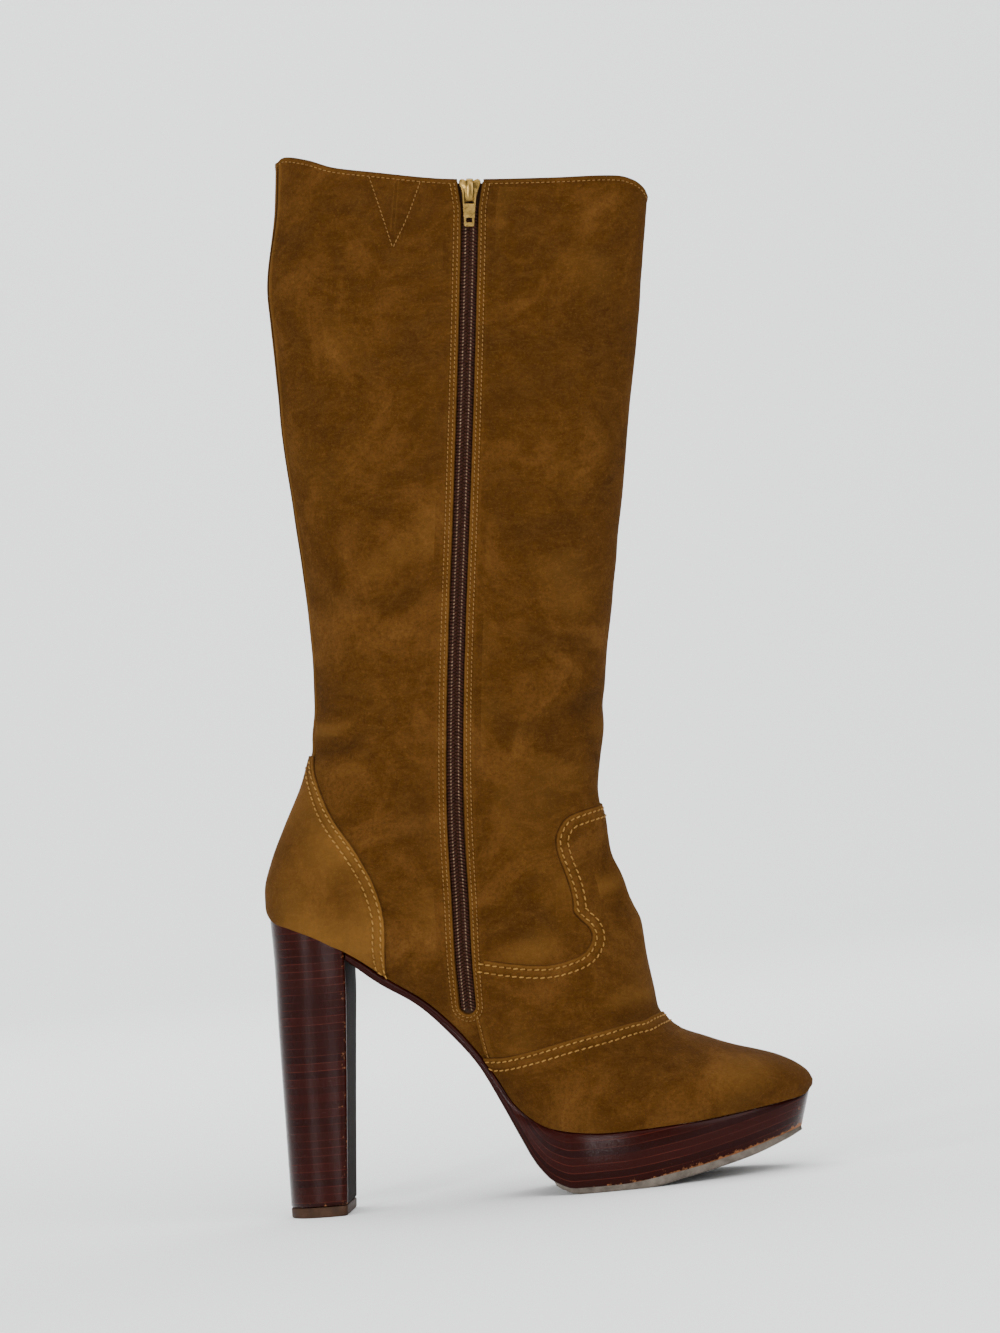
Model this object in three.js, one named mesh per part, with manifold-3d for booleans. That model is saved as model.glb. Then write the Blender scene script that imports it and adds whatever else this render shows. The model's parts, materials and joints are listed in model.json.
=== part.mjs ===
// Knee-high platform boot for the left foot: a zipped suede shaft on a stacked block heel
// and a platform sole. Millimetres, +X to the toe, +Y to the outer side, +Z up.
// All tables use heel coordinates: x from the back of the heel, z from the floor.
import * as THREE from 'three';
import { mergeVertices } from 'three/addons/utils/BufferGeometryUtils.js';
import Module from 'manifold-3d';

const wasm = await Module();
wasm.setup();

// ---------------------------------------------------------------- driving dimensions
const GAP = 0.3;                 // clearance where two pieces meet
const LEATHER = 1.8;             // wall of the upper, suede and lining together
const COUNTER_THICKNESS = 1.1;   // heel counter overlay
const HEEL_BACK = 6.5;           // back of the upper at the heel seat
const TOE_TIP = 228.2;           // front of the feather line
const HEEL_ROUND = 27;           // length of the rounded back of the seat outline
const TOE_ROUND = 62;            // length of the rounded toe of the outline
const SEAM_HALF = 0.6;           // half width of the closed back of a shaft section
const SIDE_FACETS = { front: 8, back: 8 };  // facets of each side of a section
const SOLE_INSET = 0.8;          // platform edge inside the feather line
const PLATFORM_TAPER = { most: 1.2, from: 90, to: 125 };  // drawn in at the bottom edge, waist to toe
const INSOLE_THICKNESS = 2.2;
const INSOLE_INSET = LEATHER + 1;
const NARROWEST = { platform: 0.6, outsole: 0.5 };  // half width left at the very toe
const OUTSOLE_INSET = 0.4;       // outsole edge inside the platform's bottom edge
const TOP_LIFT_HEIGHT = 4.7;
const ZIP_HALF = 4.3;            // half width of the slit
const ZIP_NOTCH_HALF = 5.9;      // half width of the slit at the collar
const ZIP_NOTCH_LENGTH = 11;     // height over which the slit widens
const ZIP_BOTTOM = 84;           // centre of the slit's round lower end
const ZIP_RECESS = 0.4;          // zip face below the leather's face
const ZIP_THICKNESS = 1.2;
const ZIP_SIDE_GAP = 0.35;       // zip edge to the leather
const ZIP_TOP = 428;
const SLIT_TOP = 450;            // above the collar everywhere
const COLLAR_AT_ZIP = 432.8;
const NEAR_MIDDLE = -4;          // the slit's cutter stops this side of the middle plane
const COLLAR_CUT = { back: 20, front: 260, low: 400, high: 500 };  // ends of the collar's cutter
const COUNTER_CUT = { back: -20, low: 88, high: 195.8, seat: 128.3, front: 84, floor: 20 };
const HEEL_CUT = { back: -10, low: 128, front: 54, high: 160 };    // ends of the seat's cutter
const HEEL_LEVELS = [22, 40, 60, 80, 94, 108, 120, 132];
const HEEL_FACETS = 10;          // facets from the breast to the back, each side
const HOLLOW_DROP = 6;           // how far the hollow reaches below the feather line
const SEAM_DROP = 0.02;
const PRISM_REACH = 120;         // reach of side cutters to each side
const OVERLAP = 0.01;            // lets two cutters join at the middle plane
const MERGE_DISTANCE = 1e-4;
const SLIDER_Z = 428.4;          // height of the slider's middle
const SLIDER = { length: 10, top: 9.3, bottom: 5.2, thick: 2.2, corner: 1.2 };
const BRIDGE = {
  length: 9.5, width: 3.6, rise: 3.4, sunk: 0.4, shoulder: 0.8, round: 0.6, openLength: 5.5, openRise: 2.2,
};
const PULL = { above: 0.8, below: 15.4, top: 6.2, bottom: 4.1, thick: 1.0, corner: 0.7 };
const PULL_EYE = { near: -0.8, far: -5.7, width: 4.3 };
const PULL_SLOT = { near: -11.6, far: -13.8, width: 2.2 };

// ---------------------------------------------------------------- tables
// Plan of the foot at the feather line: reach to the inner and the outer side.
const OUTLINE = [
  { x: 6, inner: 25.5, outer: 25.5 },
  { x: 30, inner: 25.5, outer: 25.8 },
  { x: 45, inner: 23.5, outer: 25 },
  { x: 62, inner: 20.5, outer: 24 },
  { x: 78, inner: 20, outer: 24.5 },
  { x: 92, inner: 24, outer: 28.5 },
  { x: 105, inner: 30, outer: 34.5 },
  { x: 120, inner: 36.5, outer: 40.5 },
  { x: 137, inner: 41, outer: 44.5 },
  { x: 152, inner: 42, outer: 45.5 },
  { x: 180, inner: 39.5, outer: 43.5 },
  { x: 205, inner: 37.5, outer: 38 },
  { x: 229, inner: 36, outer: 31 },
];

// Sections of the upper. f is the front or top point, b the back or bottom point, inner and
// outer the widest reach to each side, wide where along f to b it is widest, tuck how the
// side turns in towards b (1 round, 2 slanting), ridge the y of the front point.
const SECTIONS = [
  { fx: 203.6, fz: 441, bx: 44.6, bz: 471, inner: 25, outer: 25, wide: 0.5, tuck: 0.95, ridge: 0 },
  { fx: 199, fz: 415, bx: 40, bz: 433, inner: 25.5, outer: 25.5, wide: 0.5, tuck: 0.95, ridge: 0 },
  { fx: 192.6, fz: 380, bx: 32.7, bz: 392, inner: 27, outer: 27, wide: 0.5, tuck: 0.95, ridge: 0 },
  { fx: 184.5, fz: 340, bx: 32.5, bz: 345, inner: 28.5, outer: 28.5, wide: 0.5, tuck: 0.95, ridge: 0 },
  { fx: 176.4, fz: 300, bx: 34, bz: 300, inner: 30, outer: 30, wide: 0.5, tuck: 0.95, ridge: 0 },
  { fx: 166.5, fz: 250, bx: 35.7, bz: 250, inner: 31, outer: 31, wide: 0.5, tuck: 0.95, ridge: 0 },
  { fx: 158.9, fz: 214, bx: 33.6, bz: 214, inner: 31, outer: 31, wide: 0.5, tuck: 1, ridge: 0 },
  { fx: 155.4, fz: 190, bx: 28, bz: 190, inner: 30.5, outer: 30.5, wide: 0.53, tuck: 1, ridge: 0 },
  { fx: 151.3, fz: 168, bx: 16.9, bz: 168, inner: 30, outer: 30, wide: 0.62, tuck: 1, ridge: 0 },
  { fx: 152.8, fz: 153, bx: 9.3, bz: 153, inner: 29.5, outer: 29.5, wide: 0.69, tuck: 1, ridge: 0 },
  { fx: 154.8, fz: 141, bx: 5, bz: 141, inner: 29, outer: 29, wide: 0.74, tuck: 1, ridge: 0 },
  { fx: 156.8, fz: 133, bx: 4.5, bz: 133, inner: 28.5, outer: 28.5, wide: 0.77, tuck: 1, ridge: 0 },
  { fx: 157.9, fz: 128.8, bx: 6.5, bz: 128.3, inner: 28.3, outer: 28.3, wide: 0.78, tuck: 1, ridge: 0 },
  { fx: 158.9, fz: 125, bx: 12, bz: 125.6, inner: 28.3, outer: 28.3, wide: 0.78, tuck: 1.2, ridge: 0 },
  { fx: 161, fz: 119, bx: 24, bz: 120.2, inner: 28.8, outer: 28.8, wide: 0.74, tuck: 1.6, ridge: 0 },
  { fx: 163.8, fz: 111, bx: 38, bz: 112.2, inner: 29.5, outer: 29.8, wide: 0.66, tuck: 1.8, ridge: 0 },
  { fx: 164.5, fz: 101, bx: 54, bz: 99, inner: 31, outer: 32, wide: 0.56, tuck: 1.9, ridge: -0.5 },
  { fx: 165.6, fz: 88, bx: 70, bz: 87, inner: 32.5, outer: 34.5, wide: 0.48, tuck: 1.9, ridge: -1 },
  { fx: 166.6, fz: 77, bx: 84, bz: 71.5, inner: 34.5, outer: 38, wide: 0.48, tuck: 1.9, ridge: -1.5 },
  { fx: 170.5, fz: 67.7, bx: 95, bz: 55.5, inner: 38, outer: 42, wide: 0.55, tuck: 1.9, ridge: -2 },
  { fx: 177, fz: 63.2, bx: 104, bz: 39.5, inner: 41, outer: 45, wide: 0.66, tuck: 1.8, ridge: -2 },
  { fx: 186, fz: 59.2, bx: 119, bz: 28.6, inner: 42.8, outer: 46.8, wide: 0.74, tuck: 1.6, ridge: -2 },
  { fx: 196, fz: 54.7, bx: 145, bz: 25, inner: 43.6, outer: 47.2, wide: 0.78, tuck: 1.5, ridge: -2 },
  { fx: 206, fz: 51.2, bx: 175, bz: 25.7, inner: 40.5, outer: 44.2, wide: 0.8, tuck: 1.4, ridge: -2 },
  { fx: 216, fz: 47.6, bx: 200, bz: 27.7, inner: 32.5, outer: 33.8, wide: 0.78, tuck: 1.3, ridge: -2 },
  { fx: 223.5, fz: 43.6, bx: 217, bz: 29.6, inner: 20.7, outer: 19.5, wide: 0.75, tuck: 1.2, ridge: -2 },
  { fx: 227.8, fz: 39.8, bx: 225.5, bz: 30.9, inner: 11, outer: 7.5, wide: 0.7, tuck: 1.1, ridge: -2 },
  { fx: 229.4, fz: 36.4, bx: 229, bz: 34, inner: 3.6, outer: -0.6, wide: 0.5, tuck: 1, ridge: -2.1 },
];
const SEAT_CORNER = 12;          // row where the back of the shaft turns under into the seat
const HALF_STEPS = [0, 1, 2, 3, 4, 5, 21, 22, 23, 24, 25, 26];  // rows followed by one more between

// Collar edge from back to front.
const COLLAR = [
  { x: 20, z: 451 },
  { x: 43.3, z: 450.8 },
  { x: 46, z: 452.2 },
  { x: 56, z: 449.8 },
  { x: 67.7, z: 444.9 },
  { x: 83.6, z: 441 },
  { x: 121, z: 433.4 },
  { x: 161.7, z: 429.7 },
  { x: 188.6, z: 428 },
  { x: 194.5, z: 426 },
  { x: 198.4, z: 422.8 },
  { x: 200.4, z: 417.5 },
  { x: 215, z: 400 },
];

// Middle of the zip from top to bottom.
const ZIP_PATH = [
  { z: 470, x: 130.4 },
  { z: 432, x: 126.5 },
  { z: 371, x: 118.8 },
  { z: 300, x: 109 },
  { z: 220, x: 97.6 },
  { z: 184, x: 93.3 },
  { z: 154, x: 90.6 },
  { z: 118, x: 88.8 },
  { z: 70, x: 87.2 },
];

// Front edge of the heel counter, from its point on the back seam down to the feather.
const COUNTER_INNER = [
  { x: 22, z: 195.8 },
  { x: 31.6, z: 195.2 },
  { x: 33.6, z: 184 },
  { x: 38, z: 171.2 },
  { x: 48.1, z: 153.4 },
  { x: 54, z: 139 },
  { x: 56.5, z: 124 },
  { x: 55.3, z: 110 },
  { x: 53.5, z: 88 },
];
const COUNTER_OUTER = [
  { x: 22, z: 195.8 },
  { x: 31.6, z: 195.2 },
  { x: 32.4, z: 178 },
  { x: 34.6, z: 161 },
  { x: 42.4, z: 145.5 },
  { x: 47.2, z: 131 },
  { x: 48.4, z: 116 },
  { x: 46.4, z: 102 },
  { x: 44, z: 88 },
];

// Block heel: back and breast line and half width at each height.
const HEEL = [
  { z: 0, back: 0.4, breast: 26.5, half: 22 },
  { z: 40, back: 1.9, breast: 30.4, half: 22.4 },
  { z: 80, back: 3.4, breast: 34.2, half: 24 },
  { z: 108, back: 4.7, breast: 36.6, half: 26 },
  { z: 132, back: 4.9, breast: 37.6, half: 26.6 },
];

// Lower face of the platform and waist band: top names the place on the feather line that
// each lower point belongs to.
const PLATFORM = [
  { top: 37.9, x: 37.5, z: 108.4 },
  { top: 52, x: 50.4, z: 97 },
  { top: 68, x: 65.9, z: 85.8 },
  { top: 82, x: 79.4, z: 71 },
  { top: 92, x: 89.2, z: 58 },
  { top: 98.5, x: 96.4, z: 43.5 },
  { top: 103.5, x: 103.2, z: 28.2 },
  { top: 110, x: 110, z: 14 },
  { top: 117, x: 117.3, z: 5.8 },
  { top: 127, x: 126, z: 2.5 },
  { top: 145, x: 144, z: 2.5 },
  { top: 172, x: 169.4, z: 5.2 },
  { top: 198, x: 194.5, z: 9.8 },
  { top: 216, x: 211.8, z: 14.2 },
  { top: 224.5, x: 220, z: 16.6 },
  { top: 227.3, x: 222.6, z: 17.3 },
];

// Walking face of the outsole, under the platform's lower face at the same place.
const OUTSOLE = [
  { top: 116.5, x: 117.6, z: 4.2 },
  { top: 121, x: 122.4, z: 1.4 },
  { top: 127, x: 128, z: 0 },
  { top: 152, x: 154, z: 0 },
  { top: 180, x: 178.2, z: 3.6 },
  { top: 204, x: 201.2, z: 8.2 },
  { top: 219, x: 216.4, z: 13 },
  { top: 227, x: 223.4, z: 15.4 },
];

// ---------------------------------------------------------------- curves
// A smooth curve through rows that does not overshoot between them.
function smooth(rows, from, to) {
  const xs = rows.map(from);
  const ys = rows.map(to);
  const last = xs.length - 1;
  const slope = xs.slice(1).map((x, i) => (ys[i + 1] - ys[i]) / (x - xs[i]));
  const tangent = xs.map((x, i) => {
    if (i === 0) return slope[0];
    if (i === last) return slope[last - 1];
    if (slope[i - 1] * slope[i] <= 0) return 0;
    const before = xs[i] - xs[i - 1];
    const after = xs[i + 1] - xs[i];
    const heavy = 2 * after + before;
    const light = after + 2 * before;
    return (heavy + light) / (heavy / slope[i - 1] + light / slope[i]);
  });
  const rising = xs[last] > xs[0];
  return (x) => {
    let i = 0;
    while (i < last - 1 && (rising ? x > xs[i + 1] : x < xs[i + 1])) i += 1;
    const h = xs[i + 1] - xs[i];
    const t = (x - xs[i]) / h;
    const t2 = t * t;
    const t3 = t2 * t;
    return ys[i] * (2 * t3 - 3 * t2 + 1) + ys[i + 1] * (3 * t2 - 2 * t3)
      + h * (tangent[i] * (t3 - 2 * t2 + t) + tangent[i + 1] * (t3 - t2));
  };
}

// 0 at the tip, 1 from `reach` on, following a quarter ellipse.
function roundEnd(distance, reach) {
  const rest = 1 - Math.min(Math.max(distance / reach, 0), 1);
  return Math.sqrt(1 - rest * rest);
}

const outlineInner = smooth(OUTLINE, (row) => row.x, (row) => row.inner);
const outlineOuter = smooth(OUTLINE, (row) => row.x, (row) => row.outer);

// Middle and half width of the plan at x, grown by `grow` all round.
function plan(x, grow) {
  const inner = outlineInner(x);
  const outer = outlineOuter(x);
  const atHeel = roundEnd(x - HEEL_BACK + grow, HEEL_ROUND + grow);
  const atToe = roundEnd(TOE_TIP + grow - x, TOE_ROUND + grow);
  return {
    middle: (outer - inner) / 2,
    half: ((inner + outer) / 2 + grow) * atHeel * atToe,
  };
}

const zipX = smooth(ZIP_PATH, (row) => row.z, (row) => row.x);

// ---------------------------------------------------------------- the upper's own function
const byRow = (column) => {
  const rows = SECTIONS.map((row, i) => ({ i, value: row[column] }));
  return smooth(rows, (row) => row.i, (row) => row.value);
};
const section = {
  fx: byRow('fx'), fz: byRow('fz'), bx: byRow('bx'), bz: byRow('bz'),
  inner: byRow('inner'), outer: byRow('outer'),
  wide: byRow('wide'), tuck: byRow('tuck'), ridge: byRow('ridge'),
};

// Points of one section from the outer bottom edge over the front to the inner bottom edge.
function sectionLoop(u) {
  const front = new THREE.Vector2(section.fx(u), section.fz(u));
  const back = new THREE.Vector2(section.bx(u), section.bz(u));
  const open = u > SEAT_CORNER;
  const seat = open ? plan(back.x, 0) : { middle: 0, half: SEAM_HALF };
  const seatHalf = Math.max(seat.half, SEAM_HALF);
  const wide = section.wide(u);
  const tuck = section.tuck(u);
  const ridge = section.ridge(u);
  const middle = (s) => ridge + (seat.middle - ridge) * s;
  const reach = {
    1: Math.max(section.outer(u) - middle(wide), seatHalf),
    '-1': Math.max(section.inner(u) + middle(wide), seatHalf),
  };
  const point = (s, w, side) => {
    const p = front.clone().lerp(back, s);
    return new THREE.Vector3(p.x, middle(s) + side * w, p.y);
  };
  const side = (sign) => {
    const half = reach[sign];
    const points = [];
    for (let k = 1; k <= SIDE_FACETS.front; k += 1) {
      const a = (Math.PI / 2) * (k / SIDE_FACETS.front);
      points.push(point(wide * (1 - Math.cos(a)), half * Math.sin(a), sign));
    }
    for (let k = 1; k <= SIDE_FACETS.back; k += 1) {
      const a = (Math.PI / 2) * (k / SIDE_FACETS.back);
      const across = Math.max(Math.cos(a), 0) ** tuck;
      points.push(point(wide + (1 - wide) * Math.sin(a), seatHalf + (half - seatHalf) * across, sign));
    }
    return points;
  };
  return [...side(1).reverse(), point(0, 0, 1), ...side(-1)];
}

const stations = SECTIONS.flatMap((row, i) => (HALF_STEPS.includes(i) ? [i, i + 0.5] : [i]));
const skin = stations.map(sectionLoop);

// The feather line, where the upper meets the sole, runs straight between its sections.
const seatRows = stations.filter((u) => u >= SEAT_CORNER)
  .map((u) => ({ x: section.bx(u), z: section.bz(u) }));
function feather(x) {
  let i = 0;
  while (i < seatRows.length - 2 && x > seatRows[i + 1].x) i += 1;
  const { x: x0, z: z0 } = seatRows[i];
  const { x: x1, z: z1 } = seatRows[i + 1];
  return z0 + ((z1 - z0) * (x - x0)) / (x1 - x0);
}

// Places along the feather line from one x to another: its own sections, and `each` parts
// to every interval between them.
function seatPlaces(from, to, each) {
  const own = seatRows.map((row) => row.x).filter((x) => x > from + GAP && x < to - GAP);
  const knots = [from, ...own, to];
  const list = [];
  for (let i = 0; i < knots.length - 1; i += 1) {
    for (let k = 0; k < each; k += 1) {
      list.push(knots[i] + (knots[i + 1] - knots[i]) * (k / each));
    }
  }
  return [...list, to];
}

// Outward normals of the skin.
const normals = skin.map((loop, i) => loop.map((point, k) => {
  const along = loop[Math.min(k + 1, loop.length - 1)].clone().sub(loop[Math.max(k - 1, 0)]);
  const ahead = skin[Math.min(i + 1, skin.length - 1)][k].clone();
  const across = ahead.sub(skin[Math.max(i - 1, 0)][k]);
  return along.cross(across).normalize();
}));

// ---------------------------------------------------------------- solids
function solidFromTriangles(points, triangles) {
  const vertProperties = new Float32Array(points.flatMap((p) => [p.x, p.y, p.z]));
  return new wasm.Manifold(new wasm.Mesh({
    numProp: 3, vertProperties, triVerts: new Uint32Array(triangles.flat()),
  }));
}

// A closed solid through loops that all have the same number of points.
function loft(loops) {
  const size = loops[0].length;
  const points = loops.flat();
  const triangles = [];
  for (let i = 0; i < loops.length - 1; i += 1) {
    for (let k = 0; k < size; k += 1) {
      const a = i * size + k;
      const b = i * size + ((k + 1) % size);
      triangles.push([a, a + size, b], [b, a + size, b + size]);
    }
  }
  const cap = (start, flip) => {
    const ring = points.slice(start, start + size);
    const centre = ring.reduce((sum, p) => sum.add(p), new THREE.Vector3()).divideScalar(size);
    points.push(centre);
    const hub = points.length - 1;
    for (let k = 0; k < size; k += 1) {
      const a = start + k;
      const b = start + ((k + 1) % size);
      triangles.push(flip ? [hub, a, b] : [hub, b, a]);
    }
  };
  cap(0, true);
  cap((loops.length - 1) * size, false);
  const volume = triangles.reduce((sum, [a, b, c]) => (
    sum + points[a].dot(points[b].clone().cross(points[c]))), 0);
  const outward = volume > 0 ? triangles : triangles.map(([a, b, c]) => [a, c, b]);
  return solidFromTriangles(points, outward);
}

// The upper's form moved out by `offset`, and let down below the feather line by `drop`.
function upperForm(offset, drop) {
  return loft(skin.map((loop, i) => {
    const moved = loop.map((p, k) => p.clone().addScaledVector(normals[i][k], offset));
    if (!drop) return moved;
    const depth = stations[i] >= SEAT_CORNER ? drop : SEAM_DROP;
    const down = new THREE.Vector3(0, 0, -depth);
    return [moved[0].clone().add(down), ...moved, moved[moved.length - 1].clone().add(down)];
  }));
}

function solidFromGeometry(geometry) {
  const bare = geometry.clone();
  bare.deleteAttribute('normal');
  bare.deleteAttribute('uv');
  const merged = mergeVertices(bare, MERGE_DISTANCE);
  return new wasm.Manifold(new wasm.Mesh({
    numProp: 3,
    vertProperties: new Float32Array(merged.getAttribute('position').array),
    triVerts: new Uint32Array(merged.index.array),
  }));
}

// A side-view shape carried across the shoe from y = low to y = high.
function sidePrism(points, low, high) {
  const shape = new THREE.Shape(points.map((p) => new THREE.Vector2(p.x, p.z)));
  const geometry = new THREE.ExtrudeGeometry(shape, { depth: high - low, bevelEnabled: false });
  geometry.rotateX(Math.PI / 2);
  geometry.translate(0, high, 0);
  return solidFromGeometry(geometry);
}

function sampleTable(rows, steps) {
  const curve = new THREE.CatmullRomCurve3(
    rows.map((row) => new THREE.Vector3(row.x, 0, row.z)), false, 'centripetal');
  return curve.getPoints(steps);
}

function collarCutter() {
  const { back, front, low, high } = COLLAR_CUT;
  return sidePrism([
    ...sampleTable(COLLAR, 36), { x: front, z: low }, { x: front, z: high }, { x: back, z: high },
  ], -PRISM_REACH, PRISM_REACH);
}

// Side-view outline of the zip slit, or of the zip in it when `inset` is not 0.
function slitPoints(inset, top) {
  const left = [];
  const right = [];
  const steps = 16;
  for (let i = 0; i <= steps; i += 1) {
    const z = ZIP_BOTTOM + (top - ZIP_BOTTOM) * (i / steps);
    const slant = (zipX(z + 1) - zipX(z - 1)) / 2;
    const length = Math.hypot(1, slant);
    const below = COLLAR_AT_ZIP - z;
    const flare = THREE.MathUtils.clamp(1 - below / ZIP_NOTCH_LENGTH, 0, 1);
    const half = ZIP_HALF + (ZIP_NOTCH_HALF - ZIP_HALF) * flare - inset;
    left.push({ x: zipX(z) - half / length, z: z + (half * slant) / length });
    right.push({ x: zipX(z) + half / length, z: z - (half * slant) / length });
  }
  const end = [];
  const turns = 8;
  for (let k = 1; k < turns; k += 1) {
    const a = Math.PI * (k / turns);
    const half = ZIP_HALF - inset;
    end.push({ x: zipX(ZIP_BOTTOM) - half * Math.cos(a), z: ZIP_BOTTOM - half * Math.sin(a) });
  }
  return [...left.reverse(), ...end, ...right];
}

// ---------------------------------------------------------------- pieces
function makeUpper() {
  const slit = sidePrism(slitPoints(0, SLIT_TOP), -PRISM_REACH, NEAR_MIDDLE);
  return upperForm(0, 0)
    .subtract(upperForm(-LEATHER, HOLLOW_DROP))
    .subtract(collarCutter())
    .subtract(slit);
}

function makeCounter() {
  const { back, low, high, seat, front, floor } = COUNTER_CUT;
  const corner = (rows) => [...sampleTable(rows, 20), { x: back, z: low }, { x: back, z: high }];
  const inner = sidePrism(corner(COUNTER_INNER), -PRISM_REACH, 0);
  const outer = sidePrism(corner(COUNTER_OUTER), -OVERLAP, PRISM_REACH);
  const under = seatRows.filter((row) => row.x <= front);
  const below = sidePrism([
    { x: back, z: seat }, ...under, { x: front, z: floor }, { x: back, z: floor },
  ], -PRISM_REACH, PRISM_REACH);
  return upperForm(GAP + COUNTER_THICKNESS, 0)
    .subtract(upperForm(GAP, HOLLOW_DROP))
    .intersect(inner.add(outer))
    .subtract(below);
}

function makeZip() {
  const strip = sidePrism(slitPoints(ZIP_SIDE_GAP, ZIP_TOP), -PRISM_REACH, NEAR_MIDDLE);
  return upperForm(-ZIP_RECESS, 0)
    .subtract(upperForm(-ZIP_RECESS - ZIP_THICKNESS, 0))
    .intersect(strip);
}

// A plate whose sections are four-sided: top edge pair, then bottom edge pair.
function plate(sections) {
  return loft(sections.map(({ top, bottom }) => [
    new THREE.Vector3(top.x, top.middle - top.half, top.z),
    new THREE.Vector3(top.x, top.middle + top.half, top.z),
    new THREE.Vector3(bottom.x, bottom.middle + bottom.half, bottom.z),
    new THREE.Vector3(bottom.x, bottom.middle - bottom.half, bottom.z),
  ]));
}

const platformX = smooth(PLATFORM, (row) => row.top, (row) => row.x);
const platformZ = smooth(PLATFORM, (row) => row.top, (row) => row.z);
const outsoleX = smooth(OUTSOLE, (row) => row.top, (row) => row.x);
const outsoleZ = smooth(OUTSOLE, (row) => row.top, (row) => row.z);

// How far the platform has drawn in at its bottom edge: nothing at the waist.
function taper(x) {
  return PLATFORM_TAPER.most * THREE.MathUtils.smoothstep(x, PLATFORM_TAPER.from, PLATFORM_TAPER.to);
}

function makePlatform() {
  const rows = seatPlaces(PLATFORM[0].top, PLATFORM[PLATFORM.length - 1].top, 2).map((x) => {
    const edge = plan(x, -SOLE_INSET);
    const half = Math.max(edge.half - taper(x), NARROWEST.platform);
    return {
      top: { x, z: feather(x) - GAP, ...edge },
      bottom: { x: platformX(x), z: platformZ(x), middle: edge.middle, half },
    };
  });
  return plate(rows);
}

function makeOutsole() {
  const rows = seatPlaces(OUTSOLE[0].top, OUTSOLE[OUTSOLE.length - 1].top, 2).map((x) => {
    const edge = plan(x, -SOLE_INSET);
    const half = Math.max(edge.half - taper(x) - OUTSOLE_INSET, NARROWEST.outsole);
    return {
      top: { x: platformX(x), z: platformZ(x) - GAP, middle: edge.middle, half },
      bottom: { x: outsoleX(x), z: outsoleZ(x), middle: edge.middle, half },
    };
  });
  return plate(rows);
}

function makeInsole() {
  const start = HEEL_BACK + INSOLE_INSET + 0.1;
  const end = TOE_TIP - INSOLE_INSET - 1;
  const near = 4;
  return plate(seatPlaces(start, end, 2).map((x) => {
    const edge = plan(x, -INSOLE_INSET);
    const slope = (feather(x + near) - feather(x - near)) / (2 * near);
    const length = Math.hypot(1, slope);
    const along = (INSOLE_THICKNESS * -slope) / length;
    return {
      bottom: { x, z: feather(x), ...edge },
      top: { x: x + along, z: feather(x) + INSOLE_THICKNESS / length, ...edge },
    };
  }));
}

const heelBack = smooth(HEEL, (row) => row.z, (row) => row.back);
const heelBreast = smooth(HEEL, (row) => row.z, (row) => row.breast);
const heelHalf = smooth(HEEL, (row) => row.z, (row) => row.half);

// Level section of the block heel: a flat breast and a rounded back.
function heelLoop(z) {
  const back = heelBack(z);
  const breast = heelBreast(z);
  const outer = [];
  for (let k = 0; k <= HEEL_FACETS; k += 1) {
    const x = breast - (breast - back) * Math.sin((Math.PI / 2) * (k / HEEL_FACETS));
    outer.push(new THREE.Vector3(x, heelHalf(z) * roundEnd(x - back, HEEL_ROUND), z));
  }
  const inner = outer.slice(0, -1).reverse().map((p) => new THREE.Vector3(p.x, -p.y, z));
  return [...outer, ...inner];
}

function makeHeel() {
  const { back, low, front, high } = HEEL_CUT;
  const seat = seatRows.filter((row) => row.x <= front).map(({ x, z }) => ({ x, z: z - GAP }));
  const above = sidePrism([
    { x: back, z: low }, ...seat, { x: front, z: high }, { x: back, z: high },
  ], -PRISM_REACH, PRISM_REACH);
  return loft([TOP_LIFT_HEIGHT, ...HEEL_LEVELS].map(heelLoop)).subtract(above);
}

function makeTopLift() {
  return loft([0, TOP_LIFT_HEIGHT - GAP].map(heelLoop));
}

// Place and directions at the slider: along the zip, across it, and out of the shaft.
function sliderFrame() {
  const z = SLIDER_Z;
  const up = new THREE.Vector3((zipX(z + 5) - zipX(z - 5)) / 10, 0, 1);
  const at = (height) => {
    const ray = new THREE.Vector3(zipX(height), 0, height);
    let best = null;
    let bestGap = Infinity;
    skin.forEach((loop, i) => loop.forEach((p, k) => {
      if (p.y > -5) return;
      const gap = Math.hypot(p.x - ray.x, p.z - ray.z);
      if (gap < bestGap) {
        bestGap = gap;
        best = { p, n: normals[i][k] };
      }
    }));
    const { p, n } = best;
    ray.y = p.y - (n.x * (ray.x - p.x) + n.z * (ray.z - p.z)) / n.y;
    return { ray, n };
  };
  const here = at(z);
  up.y = (at(z + 8).ray.y - at(z - 8).ray.y) / 16;
  up.normalize();
  const out = here.n.clone().addScaledVector(up, -here.n.dot(up)).normalize();
  const across = up.clone().cross(out).normalize();
  return { origin: here.ray, up, out, across };
}
const slider = sliderFrame();

// Local x across the zip, y along it upwards, z out of the shaft.
const sliderMatrix = new THREE.Matrix4()
  .makeBasis(slider.across, slider.up, slider.out)
  .setPosition(slider.origin);

function trapezoid(top, bottom, high, low, corner) {
  const shape = new THREE.Shape();
  shape.moveTo(-top / 2 + corner, high);
  shape.lineTo(top / 2 - corner, high);
  shape.quadraticCurveTo(top / 2, high, top / 2, high - corner);
  shape.lineTo(bottom / 2, low + corner);
  shape.quadraticCurveTo(bottom / 2, low, bottom / 2 - corner, low);
  shape.lineTo(-bottom / 2 + corner, low);
  shape.quadraticCurveTo(-bottom / 2, low, -bottom / 2, low + corner);
  shape.lineTo(-top / 2, high - corner);
  shape.quadraticCurveTo(-top / 2, high, -top / 2 + corner, high);
  return shape;
}

function window(width, high, low) {
  return new THREE.Path([
    new THREE.Vector2(-width / 2, high),
    new THREE.Vector2(-width / 2, low),
    new THREE.Vector2(width / 2, low),
    new THREE.Vector2(width / 2, high),
  ]);
}

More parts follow.
